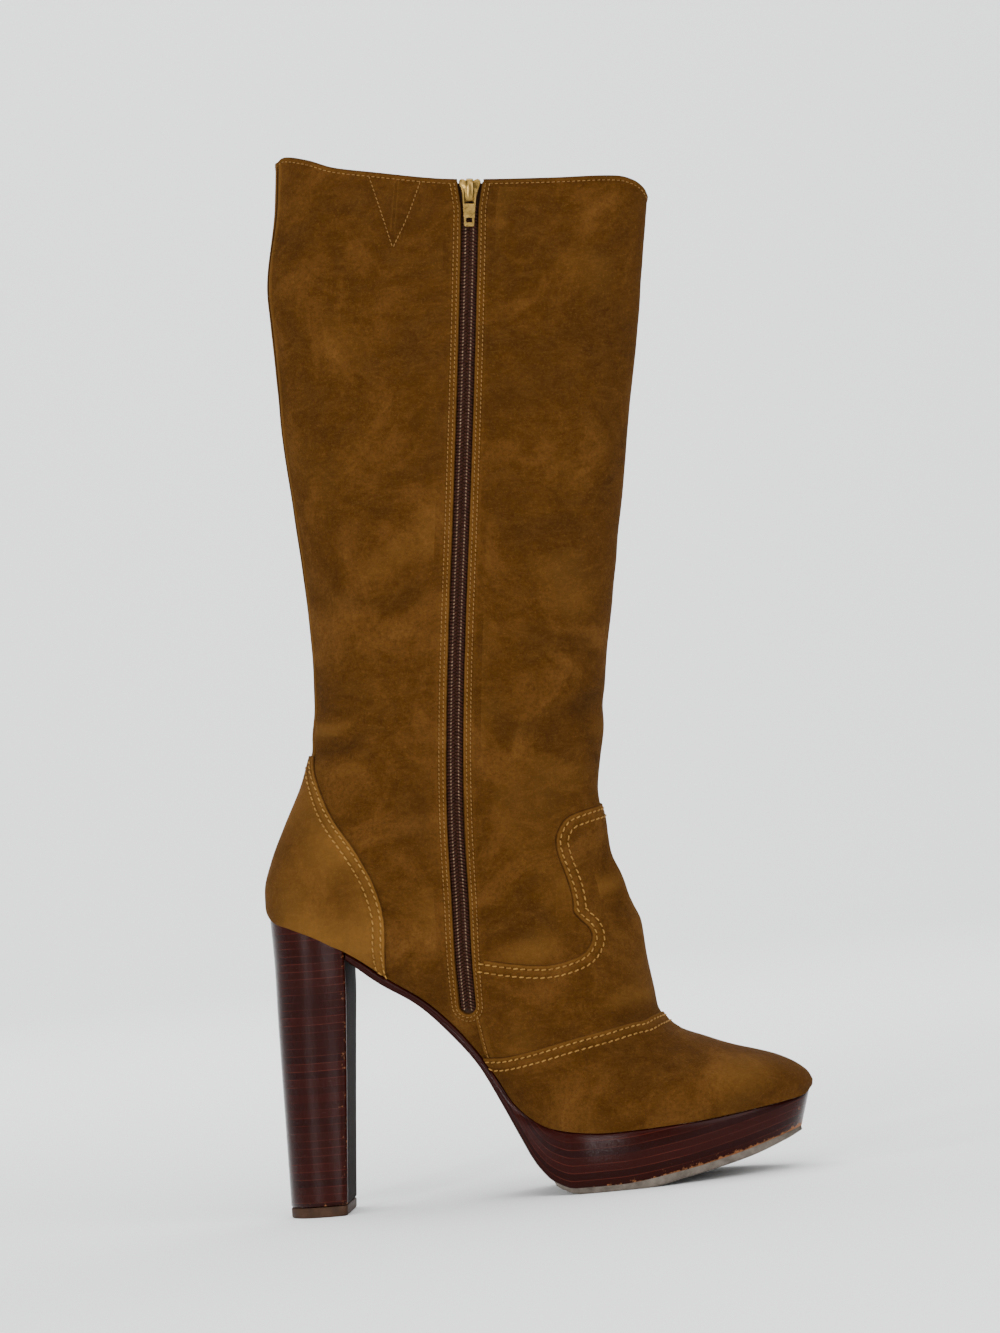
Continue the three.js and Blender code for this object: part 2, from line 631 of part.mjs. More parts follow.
function makeSlider() {
  const reach = SLIDER.length / 2;
  const outline = trapezoid(SLIDER.top, SLIDER.bottom, reach, -reach, SLIDER.corner);
  const body = new THREE.ExtrudeGeometry(outline, {
    depth: SLIDER.thick, bevelEnabled: false, curveSegments: 3,
  });
  const arch = new THREE.Shape();
  const end = BRIDGE.length / 2;
  const open = BRIDGE.openLength / 2;
  arch.moveTo(-end, -BRIDGE.sunk);
  arch.lineTo(-end, BRIDGE.shoulder);
  arch.quadraticCurveTo(-end + BRIDGE.round, BRIDGE.rise, 0, BRIDGE.rise);
  arch.quadraticCurveTo(end - BRIDGE.round, BRIDGE.rise, end, BRIDGE.shoulder);
  arch.lineTo(end, -BRIDGE.sunk);
  arch.lineTo(open, -BRIDGE.sunk);
  arch.lineTo(open, BRIDGE.openRise);
  arch.lineTo(-open, BRIDGE.openRise);
  arch.lineTo(-open, -BRIDGE.sunk);
  const bridge = new THREE.ExtrudeGeometry(arch, {
    depth: BRIDGE.width, bevelEnabled: false, curveSegments: 4,
  });
  bridge.rotateX(Math.PI / 2);
  bridge.rotateZ(Math.PI / 2);
  bridge.translate(-BRIDGE.width / 2, 0, SLIDER.thick);
  return solidFromGeometry(body).add(solidFromGeometry(bridge));
}

// The pull is made about its hinge line and lies along the zip, pointing down.
function makePull() {
  const outline = trapezoid(PULL.top, PULL.bottom, PULL.above, -PULL.below, PULL.corner);
  outline.holes.push(window(PULL_EYE.width, PULL_EYE.near, PULL_EYE.far));
  outline.holes.push(window(PULL_SLOT.width, PULL_SLOT.near, PULL_SLOT.far));
  const tab = new THREE.ExtrudeGeometry(outline, {
    depth: PULL.thick, bevelEnabled: false, curveSegments: 3,
  });
  tab.translate(0, 0, -PULL.thick / 2);
  return solidFromGeometry(tab);
}

// ---------------------------------------------------------------- scene graph
const suede = () => new THREE.MeshStandardMaterial({ color: 0x7a5224, roughness: 0.95, metalness: 0 });
const stacked = () => new THREE.MeshStandardMaterial({ color: 0x3c1614, roughness: 0.3, metalness: 0 });
const board = () => new THREE.MeshStandardMaterial({ color: 0xb08a5a, roughness: 0.8, metalness: 0 });
const rubber = () => new THREE.MeshStandardMaterial({ color: 0x8b7a66, roughness: 0.8, metalness: 0 });
const lift = () => new THREE.MeshStandardMaterial({ color: 0x8a5a34, roughness: 0.6, metalness: 0 });
const tape = () => new THREE.MeshStandardMaterial({ color: 0x2c1a10, roughness: 0.8, metalness: 0 });
const brass = () => new THREE.MeshStandardMaterial({ color: 0xb08d4a, roughness: 0.35, metalness: 1 });

const boot = new THREE.Group();
const shell = new THREE.Group();
boot.add(shell);

function addMesh(parent, name, solid, material) {
  const mesh = solid.getMesh();
  const geometry = new THREE.BufferGeometry();
  geometry.setAttribute('position', new THREE.BufferAttribute(mesh.vertProperties, 3));
  geometry.setIndex(new THREE.BufferAttribute(mesh.triVerts, 1));
  geometry.computeVertexNormals();
  const piece = new THREE.Mesh(geometry, material);
  piece.name = name;
  parent.add(piece);
  return piece;
}

addMesh(shell, 'upper', makeUpper(), suede());
addMesh(shell, 'heel_counter', makeCounter(), suede());
addMesh(shell, 'insole', makeInsole(), board());
addMesh(shell, 'platform', makePlatform(), stacked());
addMesh(shell, 'outsole', makeOutsole(), rubber());
addMesh(shell, 'heel', makeHeel(), stacked());
addMesh(shell, 'top_lift', makeTopLift(), lift());
addMesh(shell, 'zip', makeZip(), tape());

const hardware = new THREE.Group();
hardware.applyMatrix4(sliderMatrix);
shell.add(hardware);
addMesh(hardware, 'zip_slider', makeSlider(), brass());
const hinge = new THREE.Group();
hinge.position.z = SLIDER.thick + BRIDGE.openRise / 2;
hardware.add(hinge);
addMesh(hinge, 'zip_pull', makePull(), brass());

// Origin: middle of the boot's box, on the floor.
boot.updateMatrixWorld(true);
const box = new THREE.Box3().setFromObject(boot, true);
shell.position.set(-(box.min.x + box.max.x) / 2, -(box.min.y + box.max.y) / 2, -box.min.z);

export default boot;
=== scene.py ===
import json
import math
import random

import bpy
import numpy as np
from mathutils import Matrix, Vector, noise
from mathutils.bvhtree import BVHTree


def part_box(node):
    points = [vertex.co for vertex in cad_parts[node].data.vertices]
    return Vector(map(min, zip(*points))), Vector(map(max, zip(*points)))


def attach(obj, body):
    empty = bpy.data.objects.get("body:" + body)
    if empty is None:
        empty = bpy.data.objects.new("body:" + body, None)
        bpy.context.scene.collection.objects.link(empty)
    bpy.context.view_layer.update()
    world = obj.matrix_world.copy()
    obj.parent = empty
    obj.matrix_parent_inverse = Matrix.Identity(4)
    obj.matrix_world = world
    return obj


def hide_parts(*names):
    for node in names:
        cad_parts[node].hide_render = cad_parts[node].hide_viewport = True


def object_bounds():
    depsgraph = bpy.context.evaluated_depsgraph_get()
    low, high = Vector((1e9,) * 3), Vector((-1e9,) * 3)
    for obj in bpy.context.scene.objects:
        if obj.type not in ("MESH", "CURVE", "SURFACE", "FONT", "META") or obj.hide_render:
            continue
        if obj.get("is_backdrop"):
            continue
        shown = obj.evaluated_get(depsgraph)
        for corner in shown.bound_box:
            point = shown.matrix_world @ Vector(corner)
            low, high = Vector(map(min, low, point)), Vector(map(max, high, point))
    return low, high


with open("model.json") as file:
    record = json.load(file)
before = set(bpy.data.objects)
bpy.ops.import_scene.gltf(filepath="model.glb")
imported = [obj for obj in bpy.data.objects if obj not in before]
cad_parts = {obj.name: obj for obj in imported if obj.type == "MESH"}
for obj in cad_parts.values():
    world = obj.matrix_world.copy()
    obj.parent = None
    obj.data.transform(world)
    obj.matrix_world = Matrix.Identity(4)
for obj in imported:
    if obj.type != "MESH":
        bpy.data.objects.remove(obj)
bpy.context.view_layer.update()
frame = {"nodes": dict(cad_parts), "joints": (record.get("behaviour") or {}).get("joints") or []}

MM = 0.001

# ---- the boot's own sizes, in mm
# Heel coordinates: x from the back of the heel, y out from the middle of the heel, z up.
TOP_LIFT_BACK = 0.4
LIFT_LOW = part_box("top_lift")[0]
LIFT_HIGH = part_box("top_lift")[1]
SHIFT = Vector((
    LIFT_LOW[0] / MM - TOP_LIFT_BACK, (LIFT_LOW[1] + LIFT_HIGH[1]) / 2 / MM, 0.0))

GAP = 0.3
LEATHER = 1.8
HEEL_BACK = 6.5
TOE_TIP = 228.2
HEEL_ROUND = 27
TOE_ROUND = 62
SOLE_INSET = 0.8
PLATFORM_TAPER = 1.2
OUTSOLE_INSET = 0.4
TOP_LIFT_HEIGHT = 4.7
SEAT_ROW = 12
INNER = -1
OUTER = 1

OUTLINE = [  # x, reach to the inner side, reach to the outer side
    (6, 25.5, 25.5), (30, 25.5, 25.8), (45, 23.5, 25), (62, 20.5, 24), (78, 20, 24.5),
    (92, 24, 28.5), (105, 30, 34.5), (120, 36.5, 40.5), (137, 41, 44.5), (152, 42, 45.5),
    (180, 39.5, 43.5), (205, 37.5, 38), (229, 36, 31),
]
SECTIONS = [  # front x z, back x z, inner and outer reach, widest place, tuck, ridge
    (203.6, 441, 44.6, 471, 25, 25, 0.5, 0.95, 0),
    (199, 415, 40, 433, 25.5, 25.5, 0.5, 0.95, 0),
    (192.6, 380, 32.7, 392, 27, 27, 0.5, 0.95, 0),
    (184.5, 340, 32.5, 345, 28.5, 28.5, 0.5, 0.95, 0),
    (176.4, 300, 34, 300, 30, 30, 0.5, 0.95, 0),
    (166.5, 250, 35.7, 250, 31, 31, 0.5, 0.95, 0),
    (158.9, 214, 33.6, 214, 31, 31, 0.5, 1, 0),
    (155.4, 190, 28, 190, 30.5, 30.5, 0.53, 1, 0),
    (151.3, 168, 16.9, 168, 30, 30, 0.62, 1, 0),
    (152.8, 153, 9.3, 153, 29.5, 29.5, 0.69, 1, 0),
    (154.8, 141, 5, 141, 29, 29, 0.74, 1, 0),
    (156.8, 133, 4.5, 133, 28.5, 28.5, 0.77, 1, 0),
    (157.9, 128.8, 6.5, 128.3, 28.3, 28.3, 0.78, 1, 0),
    (158.9, 125, 12, 125.6, 28.3, 28.3, 0.78, 1.2, 0),
    (161, 119, 24, 120.2, 28.8, 28.8, 0.74, 1.6, 0),
    (163.8, 111, 38, 112.2, 29.5, 29.8, 0.66, 1.8, 0),
    (164.5, 101, 54, 99, 31, 32, 0.56, 1.9, -0.5),
    (165.6, 88, 70, 87, 32.5, 34.5, 0.48, 1.9, -1),
    (166.6, 77, 84, 71.5, 34.5, 38, 0.48, 1.9, -1.5),
    (170.5, 67.7, 95, 55.5, 38, 42, 0.55, 1.9, -2),
    (177, 63.2, 104, 39.5, 41, 45, 0.66, 1.8, -2),
    (186, 59.2, 119, 28.6, 42.8, 46.8, 0.74, 1.6, -2),
    (196, 54.7, 145, 25, 43.6, 47.2, 0.78, 1.5, -2),
    (206, 51.2, 175, 25.7, 40.5, 44.2, 0.8, 1.4, -2),
    (216, 47.6, 200, 27.7, 32.5, 33.8, 0.78, 1.3, -2),
    (223.5, 43.6, 217, 29.6, 20.7, 19.5, 0.75, 1.2, -2),
    (227.8, 39.8, 225.5, 30.9, 11, 7.5, 0.7, 1.1, -2),
    (229.4, 36.4, 229, 34, 3.6, -0.6, 0.5, 1, -2.1),
]
COLLAR = [  # x, z along the collar from back to front
    (20, 451), (43.3, 450.8), (46, 452.2), (56, 449.8), (67.7, 444.9), (83.6, 441), (121, 433.4),
    (161.7, 429.7), (188.6, 428), (194.5, 426), (198.4, 422.8), (200.4, 417.5), (215, 400),
]
ZIP_PATH = [  # z, x of the zip's middle
    (470, 130.4), (432, 126.5), (371, 118.8), (300, 109), (220, 97.6), (184, 93.3),
    (154, 90.6), (118, 88.8), (70, 87.2),
]
ZIP_HALF = 3.7
ZIP_NOTCH_HALF = 5.6
ZIP_NOTCH_LENGTH = 11
ZIP_TOP = 432.8
ZIP_BOTTOM = 84
HEEL = [  # z, back, breast, half width
    (0, 0.4, 26.5, 22), (40, 1.9, 30.4, 22.4), (80, 3.4, 34.2, 24),
    (108, 4.7, 36.6, 26), (132, 4.9, 37.6, 26.6),
]
PLATFORM = [  # place on the feather line, then x, z of the lower face
    (37.9, 37.5, 108.4), (52, 50.4, 97), (68, 65.9, 85.8), (82, 79.4, 71), (92, 89.2, 58),
    (98.5, 96.4, 43.5), (103.5, 103.2, 28.2), (110, 110, 14), (117, 117.3, 5.8),
    (127, 126, 2.5), (145, 144, 2.5), (172, 169.4, 5.2), (198, 194.5, 9.8),
    (216, 211.8, 14.2), (224.5, 220, 16.6), (227.3, 222.6, 17.3),
]
OUTSOLE = [  # place on the feather line, then x, z of the walking face
    (116.5, 117.6, 4.2), (121, 122.4, 1.4), (127, 128, 0), (152, 154, 0), (180, 178.2, 3.6),
    (204, 201.2, 8.2), (219, 216, 13), (227, 222.6, 15.4),
]

# Seams in side view, x and z on the inner or the outer side.
COUNTER_INNER = [
    (31.6, 195.2), (33.6, 184), (38, 171.2), (48.1, 153.4), (54, 139), (56.5, 124),
    (55.3, 110), (53.9, 97.8),
]
COUNTER_OUTER = [
    (31.6, 195.2), (32.4, 178), (34.6, 161), (42.4, 145.5), (47.2, 131), (48.4, 116), (46.6, 104),
]
WAVE_INNER = [
    (151.5, 162.6), (144.2, 161), (137, 158.4), (132.6, 152), (132, 145.4), (134.2, 136),
    (136, 127.8), (136.5, 122.2), (136.4, 118.8), (138.8, 115.2), (142.4, 111), (143, 106.2),
    (139.2, 101), (131.4, 98.4), (121.6, 97.8), (107.6, 100.2), (94.6, 103.4),
]
WAVE_OUTER = [
    (146, 163.8), (136, 163.6), (127, 161.8), (121.5, 154.7), (122.1, 143.9), (124.4, 133.3),
    (125.1, 120.7), (121.6, 112.8), (124.1, 107.7), (128.2, 97.4), (130.5, 87.3), (122.2, 86.6),
    (107.1, 91.2), (91.9, 95.4), (77.5, 94.6), (64.5, 91.6),
]
VAMP_INNER = [
    (163.5, 70.4), (156, 69.2), (142.2, 67.4), (124.4, 64.4), (113.8, 62.4), (105.5, 61.2),
    (98.9, 60.7), (92.2, 61.3),
]
VAMP_OUTER = [
    (163, 68.6), (150, 69.2), (136, 67.6), (122, 64.8), (108, 61.2), (94.5, 57),
]


def smooth(rows, column):
    """A curve through a table's rows that does not overshoot between them."""
    xs = np.array([row[0] for row in rows], float)
    ys = np.array([row[column] for row in rows], float)
    if xs[-1] < xs[0]:
        xs, ys = xs[::-1], ys[::-1]
    gap = np.diff(xs)
    slope = np.diff(ys) / gap
    tangent = np.zeros_like(ys)
    tangent[0], tangent[-1] = slope[0], slope[-1]
    for i in range(1, len(xs) - 1):
        if slope[i - 1] * slope[i] > 0:
            heavy = 2 * gap[i] + gap[i - 1]
            light = gap[i] + 2 * gap[i - 1]
            tangent[i] = (heavy + light) / (heavy / slope[i - 1] + light / slope[i])

    def at(x):
        x = np.asarray(x, float)
        i = np.clip(np.searchsorted(xs, x, side="right") - 1, 0, len(xs) - 2)
        h = gap[i]
        t = (x - xs[i]) / h
        low = ys[i] * (2 * t ** 3 - 3 * t ** 2 + 1) + h * tangent[i] * (t ** 3 - 2 * t ** 2 + t)
        high = ys[i + 1] * (3 * t ** 2 - 2 * t ** 3) + h * tangent[i + 1] * (t ** 3 - t ** 2)
        return low + high
    return at


def round_end(distance, reach):
    rest = 1 - np.clip(np.asarray(distance, float) / reach, 0, 1)
    return np.sqrt(1 - rest ** 2)


outline_inner = smooth(OUTLINE, 1)
outline_outer = smooth(OUTLINE, 2)


def plan(x, grow=0.0):
    """Middle and half width of the foot's plan at x, grown by `grow` all round."""
    inner, outer = outline_inner(x), outline_outer(x)
    ends = round_end(x - HEEL_BACK + grow, HEEL_ROUND + grow)
    ends = ends * round_end(TOE_TIP + grow - x, TOE_ROUND + grow)
    return (outer - inner) / 2, ((inner + outer) / 2 + grow) * ends


numbered = [(i,) + row for i, row in enumerate(SECTIONS)]
FRONT_X, FRONT_Z, BACK_X, BACK_Z, REACH_IN, REACH_OUT, WIDE, TUCK, RIDGE = [
    smooth(numbered, column) for column in range(1, 10)]
collar_z = smooth(COLLAR, 1)
zip_x = smooth(ZIP_PATH, 1)
feather = smooth([(row[2], row[3]) for row in SECTIONS[SEAT_ROW:]], 1)


def skin(u, t):
    """Points of the upper's face. u runs from the collar to the toe, t from 2 at the outer
    bottom edge through 0 at the front to -2 at the inner bottom edge."""
    u, t = np.broadcast_arrays(np.asarray(u, float), np.asarray(t, float))
    side = np.where(t >= 0, 1.0, -1.0)
    middle_b, half_b = plan(BACK_X(u))
    opened = np.clip((u - SEAT_ROW) / 0.02, 0, 1)
    middle_b, half_b = middle_b * opened, half_b * opened
    wide, ridge = WIDE(u), RIDGE(u)
    middle_wide = ridge + (middle_b - ridge) * wide
    half = np.where(side > 0, REACH_OUT(u) - middle_wide, REACH_IN(u) + middle_wide)
    half = np.maximum(half, half_b)
    a = np.clip(np.abs(t), 0, 1) * math.pi / 2
    b = np.clip(np.abs(t) - 1, 0, 1) * math.pi / 2
    ahead = np.abs(t) <= 1
    s = np.where(ahead, wide * (1 - np.cos(a)), wide + (1 - wide) * np.sin(b))
    across = np.maximum(np.cos(b), 0) ** TUCK(u)
    w = np.where(ahead, half * np.sin(a), half_b + (half - half_b) * across)
    x = FRONT_X(u) + (BACK_X(u) - FRONT_X(u)) * s
    z = FRONT_Z(u) + (BACK_Z(u) - FRONT_Z(u)) * s
    y = ridge + (middle_b - ridge) * s + side * w
    return np.stack([x, y, z], axis=-1)


def grid_normals(points):
    along = np.gradient(points, axis=1)
    down = np.gradient(points, axis=0)
    normal = np.cross(along, down)
    length = np.linalg.norm(normal, axis=-1, keepdims=True)
    return normal / np.maximum(length, 1e-9)


# ---- soft creases and dents
def near_path(points, path):
    """Distance of each point from a side-view path, and how far along the path it lies."""
    best = np.full(points.shape[:-1], 1e9)
    along = np.zeros(points.shape[:-1])
    path = np.array(path, float)
    for i in range(len(path) - 1):
        a, b = path[i], path[i + 1]
        step = b - a
        t = np.clip(((points - a) @ step) / (step @ step), 0, 1)
        d = np.linalg.norm(points - (a + t[..., None] * step), axis=-1)
        closer = d < best
        best = np.where(closer, d, best)
        along = np.where(closer, (i + t) / (len(path) - 1), along)
    return best, along


CREASES = [  # side (0 both), depth, width, path in side view
    (0, 1.3, 4.2, [(20, 200), (33, 197), (46, 199), (60, 205)]),
    (0, 0.9, 4.5, [(34, 218), (46, 214), (58, 215)]),
    (0, 1.2, 7, [(158, 139), (146, 140), (138, 146)]),
    (INNER, 1.2, 4.0, [(168, 71), (158, 72.5), (147, 71)]),
    (OUTER, 1.3, 4.5, [(168, 71), (156, 72), (144, 70)]),
    (0, 0.8, 6, [(156, 186), (142, 190), (128, 198), (112, 200)]),
    (0, 0.9, 6, [(160, 208), (146, 204), (132, 206)]),
    (INNER, 0.8, 5, [(146, 121), (156, 118), (164, 112)]),
    (INNER, 0.7, 6, [(105, 140), (98, 165), (103, 190)]),
    (0, 0.7, 7, [(48, 262), (70, 258), (90, 266)]),
    (0, 0.6, 7, [(118, 284), (140, 280), (162, 286)]),
    (0, 0.6, 6, [(128, 240), (144, 234), (160, 232)]),
    (OUTER, 0.9, 6, [(60, 232), (88, 226), (118, 230), (146, 224)]),
    (OUTER, 0.8, 6, [(50, 246), (80, 243), (104, 250)]),
    (OUTER, 0.9, 6, [(70, 150), (92, 142), (108, 128)]),
]
RIDGE_SHARE = 0.35   # ridge beside a crease, as a share of its depth
RIDGE_PLACE = 2.0    # in crease widths
RIDGE_WIDTH = 1.2
# painted shade in a crease's valley, painted light on the ridges beside it and on the pillows
VALLEY_PAINTED_SHADE = 0.4
RIDGE_PAINTED_LIGHT = 0.15
PILLOW_PAINTED_LIGHT = 0.25
PILLOWS = [  # side, height, radius along x, radius along z, centre x, z
    (INNER, 1.3, 19, 7, 118, 105),
    (INNER, 0.8, 10, 14, 146, 132),
    (OUTER, 0.9, 9, 22, 138, 128),
    (0, 0.7, 16, 22, 30, 150),
    (0, 0.7, 30, 9, 190, 46),
]


def relief(points):
    """How far the leather stands out or in from the last's plain form, with painted shade in its
    creases and painted light on its ridges and pillows.
    """
    flat = points[..., [0, 2]]
    side = np.where(points[..., 1] > 0, OUTER, INNER)
    height = np.zeros(flat.shape[:-1])
    shade = np.zeros(flat.shape[:-1])
    for where, depth, width, path in CREASES:
        d, along = near_path(flat, path)
        ends = np.clip(np.sin(math.pi * np.clip(along * 0.94 + 0.03, 0, 1)) * 1.6, 0, 1)
        valley = np.exp(-(d / width) ** 2)
        ridge = np.exp(-((d - RIDGE_PLACE * width) / (RIDGE_WIDTH * width)) ** 2)
        here = (side == where) if where else 1.0
        height += here * ends * depth * (RIDGE_SHARE * ridge - valley)
        # painted shade along each crease, painted light on the ridges beside it
        shade -= here * ends * valley * depth * VALLEY_PAINTED_SHADE
        shade += here * ends * ridge * depth * RIDGE_PAINTED_LIGHT
    for where, rise, rx, rz, cx, cz in PILLOWS:
        d2 = ((flat[..., 0] - cx) / rx) ** 2 + ((flat[..., 1] - cz) / rz) ** 2
        here = (side == where) if where else 1.0
        height += here * rise * np.exp(-d2)
        # painted light on each pillow
        shade += here * PILLOW_PAINTED_LIGHT * rise * np.exp(-d2)
    return height, shade


def unevenness(points, period, seed):
    """Smooth noise at each point, with bumps about `period` mm apart."""
    flat = points.reshape(-1, 3) / period
    values = [noise.noise(Vector((p[0] + seed, p[1], p[2]))) for p in flat]
    return np.array(values).reshape(points.shape[:-1])


# ---- mesh helpers
def to_frame(points):
    return (np.asarray(points, float) + np.array(SHIFT)) * MM


def add_object(name, data):
    made = bpy.data.objects.new(name, data)
    bpy.context.scene.collection.objects.link(made)
    return made


def new_mesh(name, vertices, faces, material, slot, body="boot", smooth_faces=True, **values):
    """A visible piece from vertices in metres, riding on a body. values hold one number for each
    vertex, which a material reads by name."""
    mesh = bpy.data.meshes.new(name)
    mesh.from_pydata([tuple(v) for v in vertices], [], [tuple(f) for f in faces])
    mesh.validate()
    mesh.update()
    if smooth_faces:
        mesh.polygons.foreach_set("use_smooth", [True] * len(mesh.polygons))
    for key, numbers in values.items():
        layer = mesh.attributes.new(key, "FLOAT", "POINT")
        layer.data.foreach_set("value", np.asarray(numbers, float).ravel())
    piece = add_object(name, mesh)
    mesh.materials.append(material)
    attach(piece, body)
    return piece


def grid_faces(rows, columns, closed=False, keep=None, flip=False):
    faces = []
    last = columns if closed else columns - 1
    for i in range(rows - 1):
        for k in range(last):
            if keep is not None and not keep[i, k]:
                continue
            a = i * columns + k
            b = i * columns + (k + 1) % columns
            face = (a, b, b + columns, a + columns)
            faces.append(face[::-1] if flip else face)
    return faces


def ring_solid(rings, flip=False):
    """Closes a stack of equal rings with a flat face at each end."""
    size = len(rings[0])
    faces = grid_faces(len(rings), size, closed=True)
    faces.append(tuple(range(size))[::-1])
    faces.append(tuple((len(rings) - 1) * size + k for k in range(size)))
    if flip:
        faces = [face[::-1] for face in faces]
    return [p for ring in rings for p in ring], faces


def join_parts(parts):
    """One list of vertices and one of faces from several such pairs."""
    vertices, faces = [], []
    for more, cells in parts:
        first = len(vertices)
        vertices += list(more)
        faces += [tuple(first + i for i in cell) for cell in cells]
    return vertices, faces


def used_only(faces):
    """The vertices that faces use, and the faces renumbered to those."""
    used = sorted({i for face in faces for i in face})
    renumber = {old: new for new, old in enumerate(used)}
    return used, [tuple(renumber[i] for i in face) for face in faces]


def lengths_along(points):
    return np.concatenate([[0], np.cumsum(np.linalg.norm(np.diff(points, axis=0), axis=1))])


def read_off(where, lengths, values):
    """Vectors given at `lengths` along a line, read off at `where` along it."""
    return np.stack([np.interp(where, lengths, values[:, c]) for c in range(values.shape[1])],
                    axis=-1)


def sharpen(piece, angle=40):
    """Keeps hard edges hard where faces meet at more than `angle`."""
    piece.data.set_sharp_from_angle(angle=math.radians(angle))


def resample(points, step):
    """Points at even spacing on a smooth curve through the given ones."""
    points = np.asarray(points, float)
    before = 2 * points[0] - points[1]
    after = 2 * points[-1] - points[-2]
    padded = np.vstack([before, points, after])
    fine = []
    for i in range(1, len(padded) - 2):
        p0, p1, p2, p3 = padded[i - 1:i + 3]
        for t in np.linspace(0, 1, 16, endpoint=False):
            fine.append(0.5 * (2 * p1 + (p2 - p0) * t + (2 * p0 - 5 * p1 + 4 * p2 - p3) * t ** 2
                               + (3 * p1 - p0 - 3 * p2 + p3) * t ** 3))
    fine.append(points[-1])
    fine = np.array(fine)
    length = lengths_along(fine)
    count = max(int(length[-1] / step), 2)
    return read_off(np.linspace(0, length[-1], count + 1), length, fine)


def unit(v):
    return v / max(np.linalg.norm(v), 1e-9)


# ---- materials
class Look:
    """A material being made: small helpers that add and join nodes."""

    def __init__(self, name, **values):
        self.material = bpy.data.materials.new(name)
        self.material.use_nodes = True
        self.tree = self.material.node_tree
        self.shader = self.tree.nodes["Principled BSDF"]
        for key, value in values.items():
            self.shader.inputs[key.replace("_", " ")].default_value = value
        self.place = self.tree.nodes.new("ShaderNodeTexCoord").outputs["Object"]

    def node(self, kind, links=None, **settings):
        made = self.tree.nodes.new(kind)
        for key, value in settings.items():
            setattr(made, key, value)
        for key, value in (links or {}).items():
            if isinstance(value, bpy.types.NodeSocket):
                self.tree.links.new(value, made.inputs[key])
            else:
                made.inputs[key].default_value = value
        return made

    def stretched(self, x, y, z):
        scale = self.node("ShaderNodeMapping", {"Vector": self.place, "Scale": (x, y, z)})
        return scale.outputs["Vector"]

    def noise(self, scale, detail=3.0, rough=0.55, vector=None, warp=0.0):
        made = self.node("ShaderNodeTexNoise", {
            "Vector": vector or self.place, "Scale": scale, "Detail": detail, "Roughness": rough,
            "Distortion": warp})
        return made.outputs["Fac"]

    def ramp(self, value, stops):
        made = self.node("ShaderNodeValToRGB", {"Fac": value})
        points = made.color_ramp.elements
        while len(points) < len(stops):
            points.new(0.5)
        for point, (position, colour) in zip(points, stops):
            point.position = position
            point.color = colour
        return made.outputs["Color"]

    def mix(self, amount, first, second):
        made = self.node("ShaderNodeMix", {0: amount, 6: first, 7: second}, data_type="RGBA")
        return made.outputs[2]

    def sum(self, first, second, operation="ADD"):
        return self.node("ShaderNodeMath", {0: first, 1: second}, operation=operation).outputs[0]

    def range(self, value, low, high, to_low, to_high):
        made = self.node("ShaderNodeMapRange", {
            "Value": value, "From Min": low, "From Max": high, "To Min": to_low, "To Max": to_high})
        return made.outputs["Result"]

    def attribute(self, name):
        return self.node("ShaderNodeAttribute", attribute_name=name).outputs["Fac"]

    def give(self, key, value):
        self.tree.links.new(value, self.shader.inputs[key])

    def two_tones(self, dark, light, *grain):
        """Colours the surface by noise of the given scale, detail and roughness."""
        self.give("Base Color", self.ramp(self.noise(*grain), [(0.3, rgba(*dark)),
                                                               (0.7, rgba(*light))]))

    def bump(self, height, distance, strength=1.0, after=None):
        links = {"Height": height, "Distance": distance, "Strength": strength}
        if after is not None:
            links["Normal"] = after
        return self.node("ShaderNodeBump", links).outputs["Normal"]


def rgba(r, g, b):
    """A linear colour from screen values of 0 to 255."""
    def linear(c):
        c /= 255
        return c / 12.92 if c <= 0.04045 else ((c + 0.055) / 1.055) ** 2.4
    return (linear(r), linear(g), linear(b), 1.0)


def grey(v):
    return (v, v, v, 1.0)


SUEDE_DARK = (50, 29, 6)
SUEDE_MID = (63, 37, 7)
SUEDE_LIGHT = (92, 60, 25)
LAYER_PITCH = 3.3


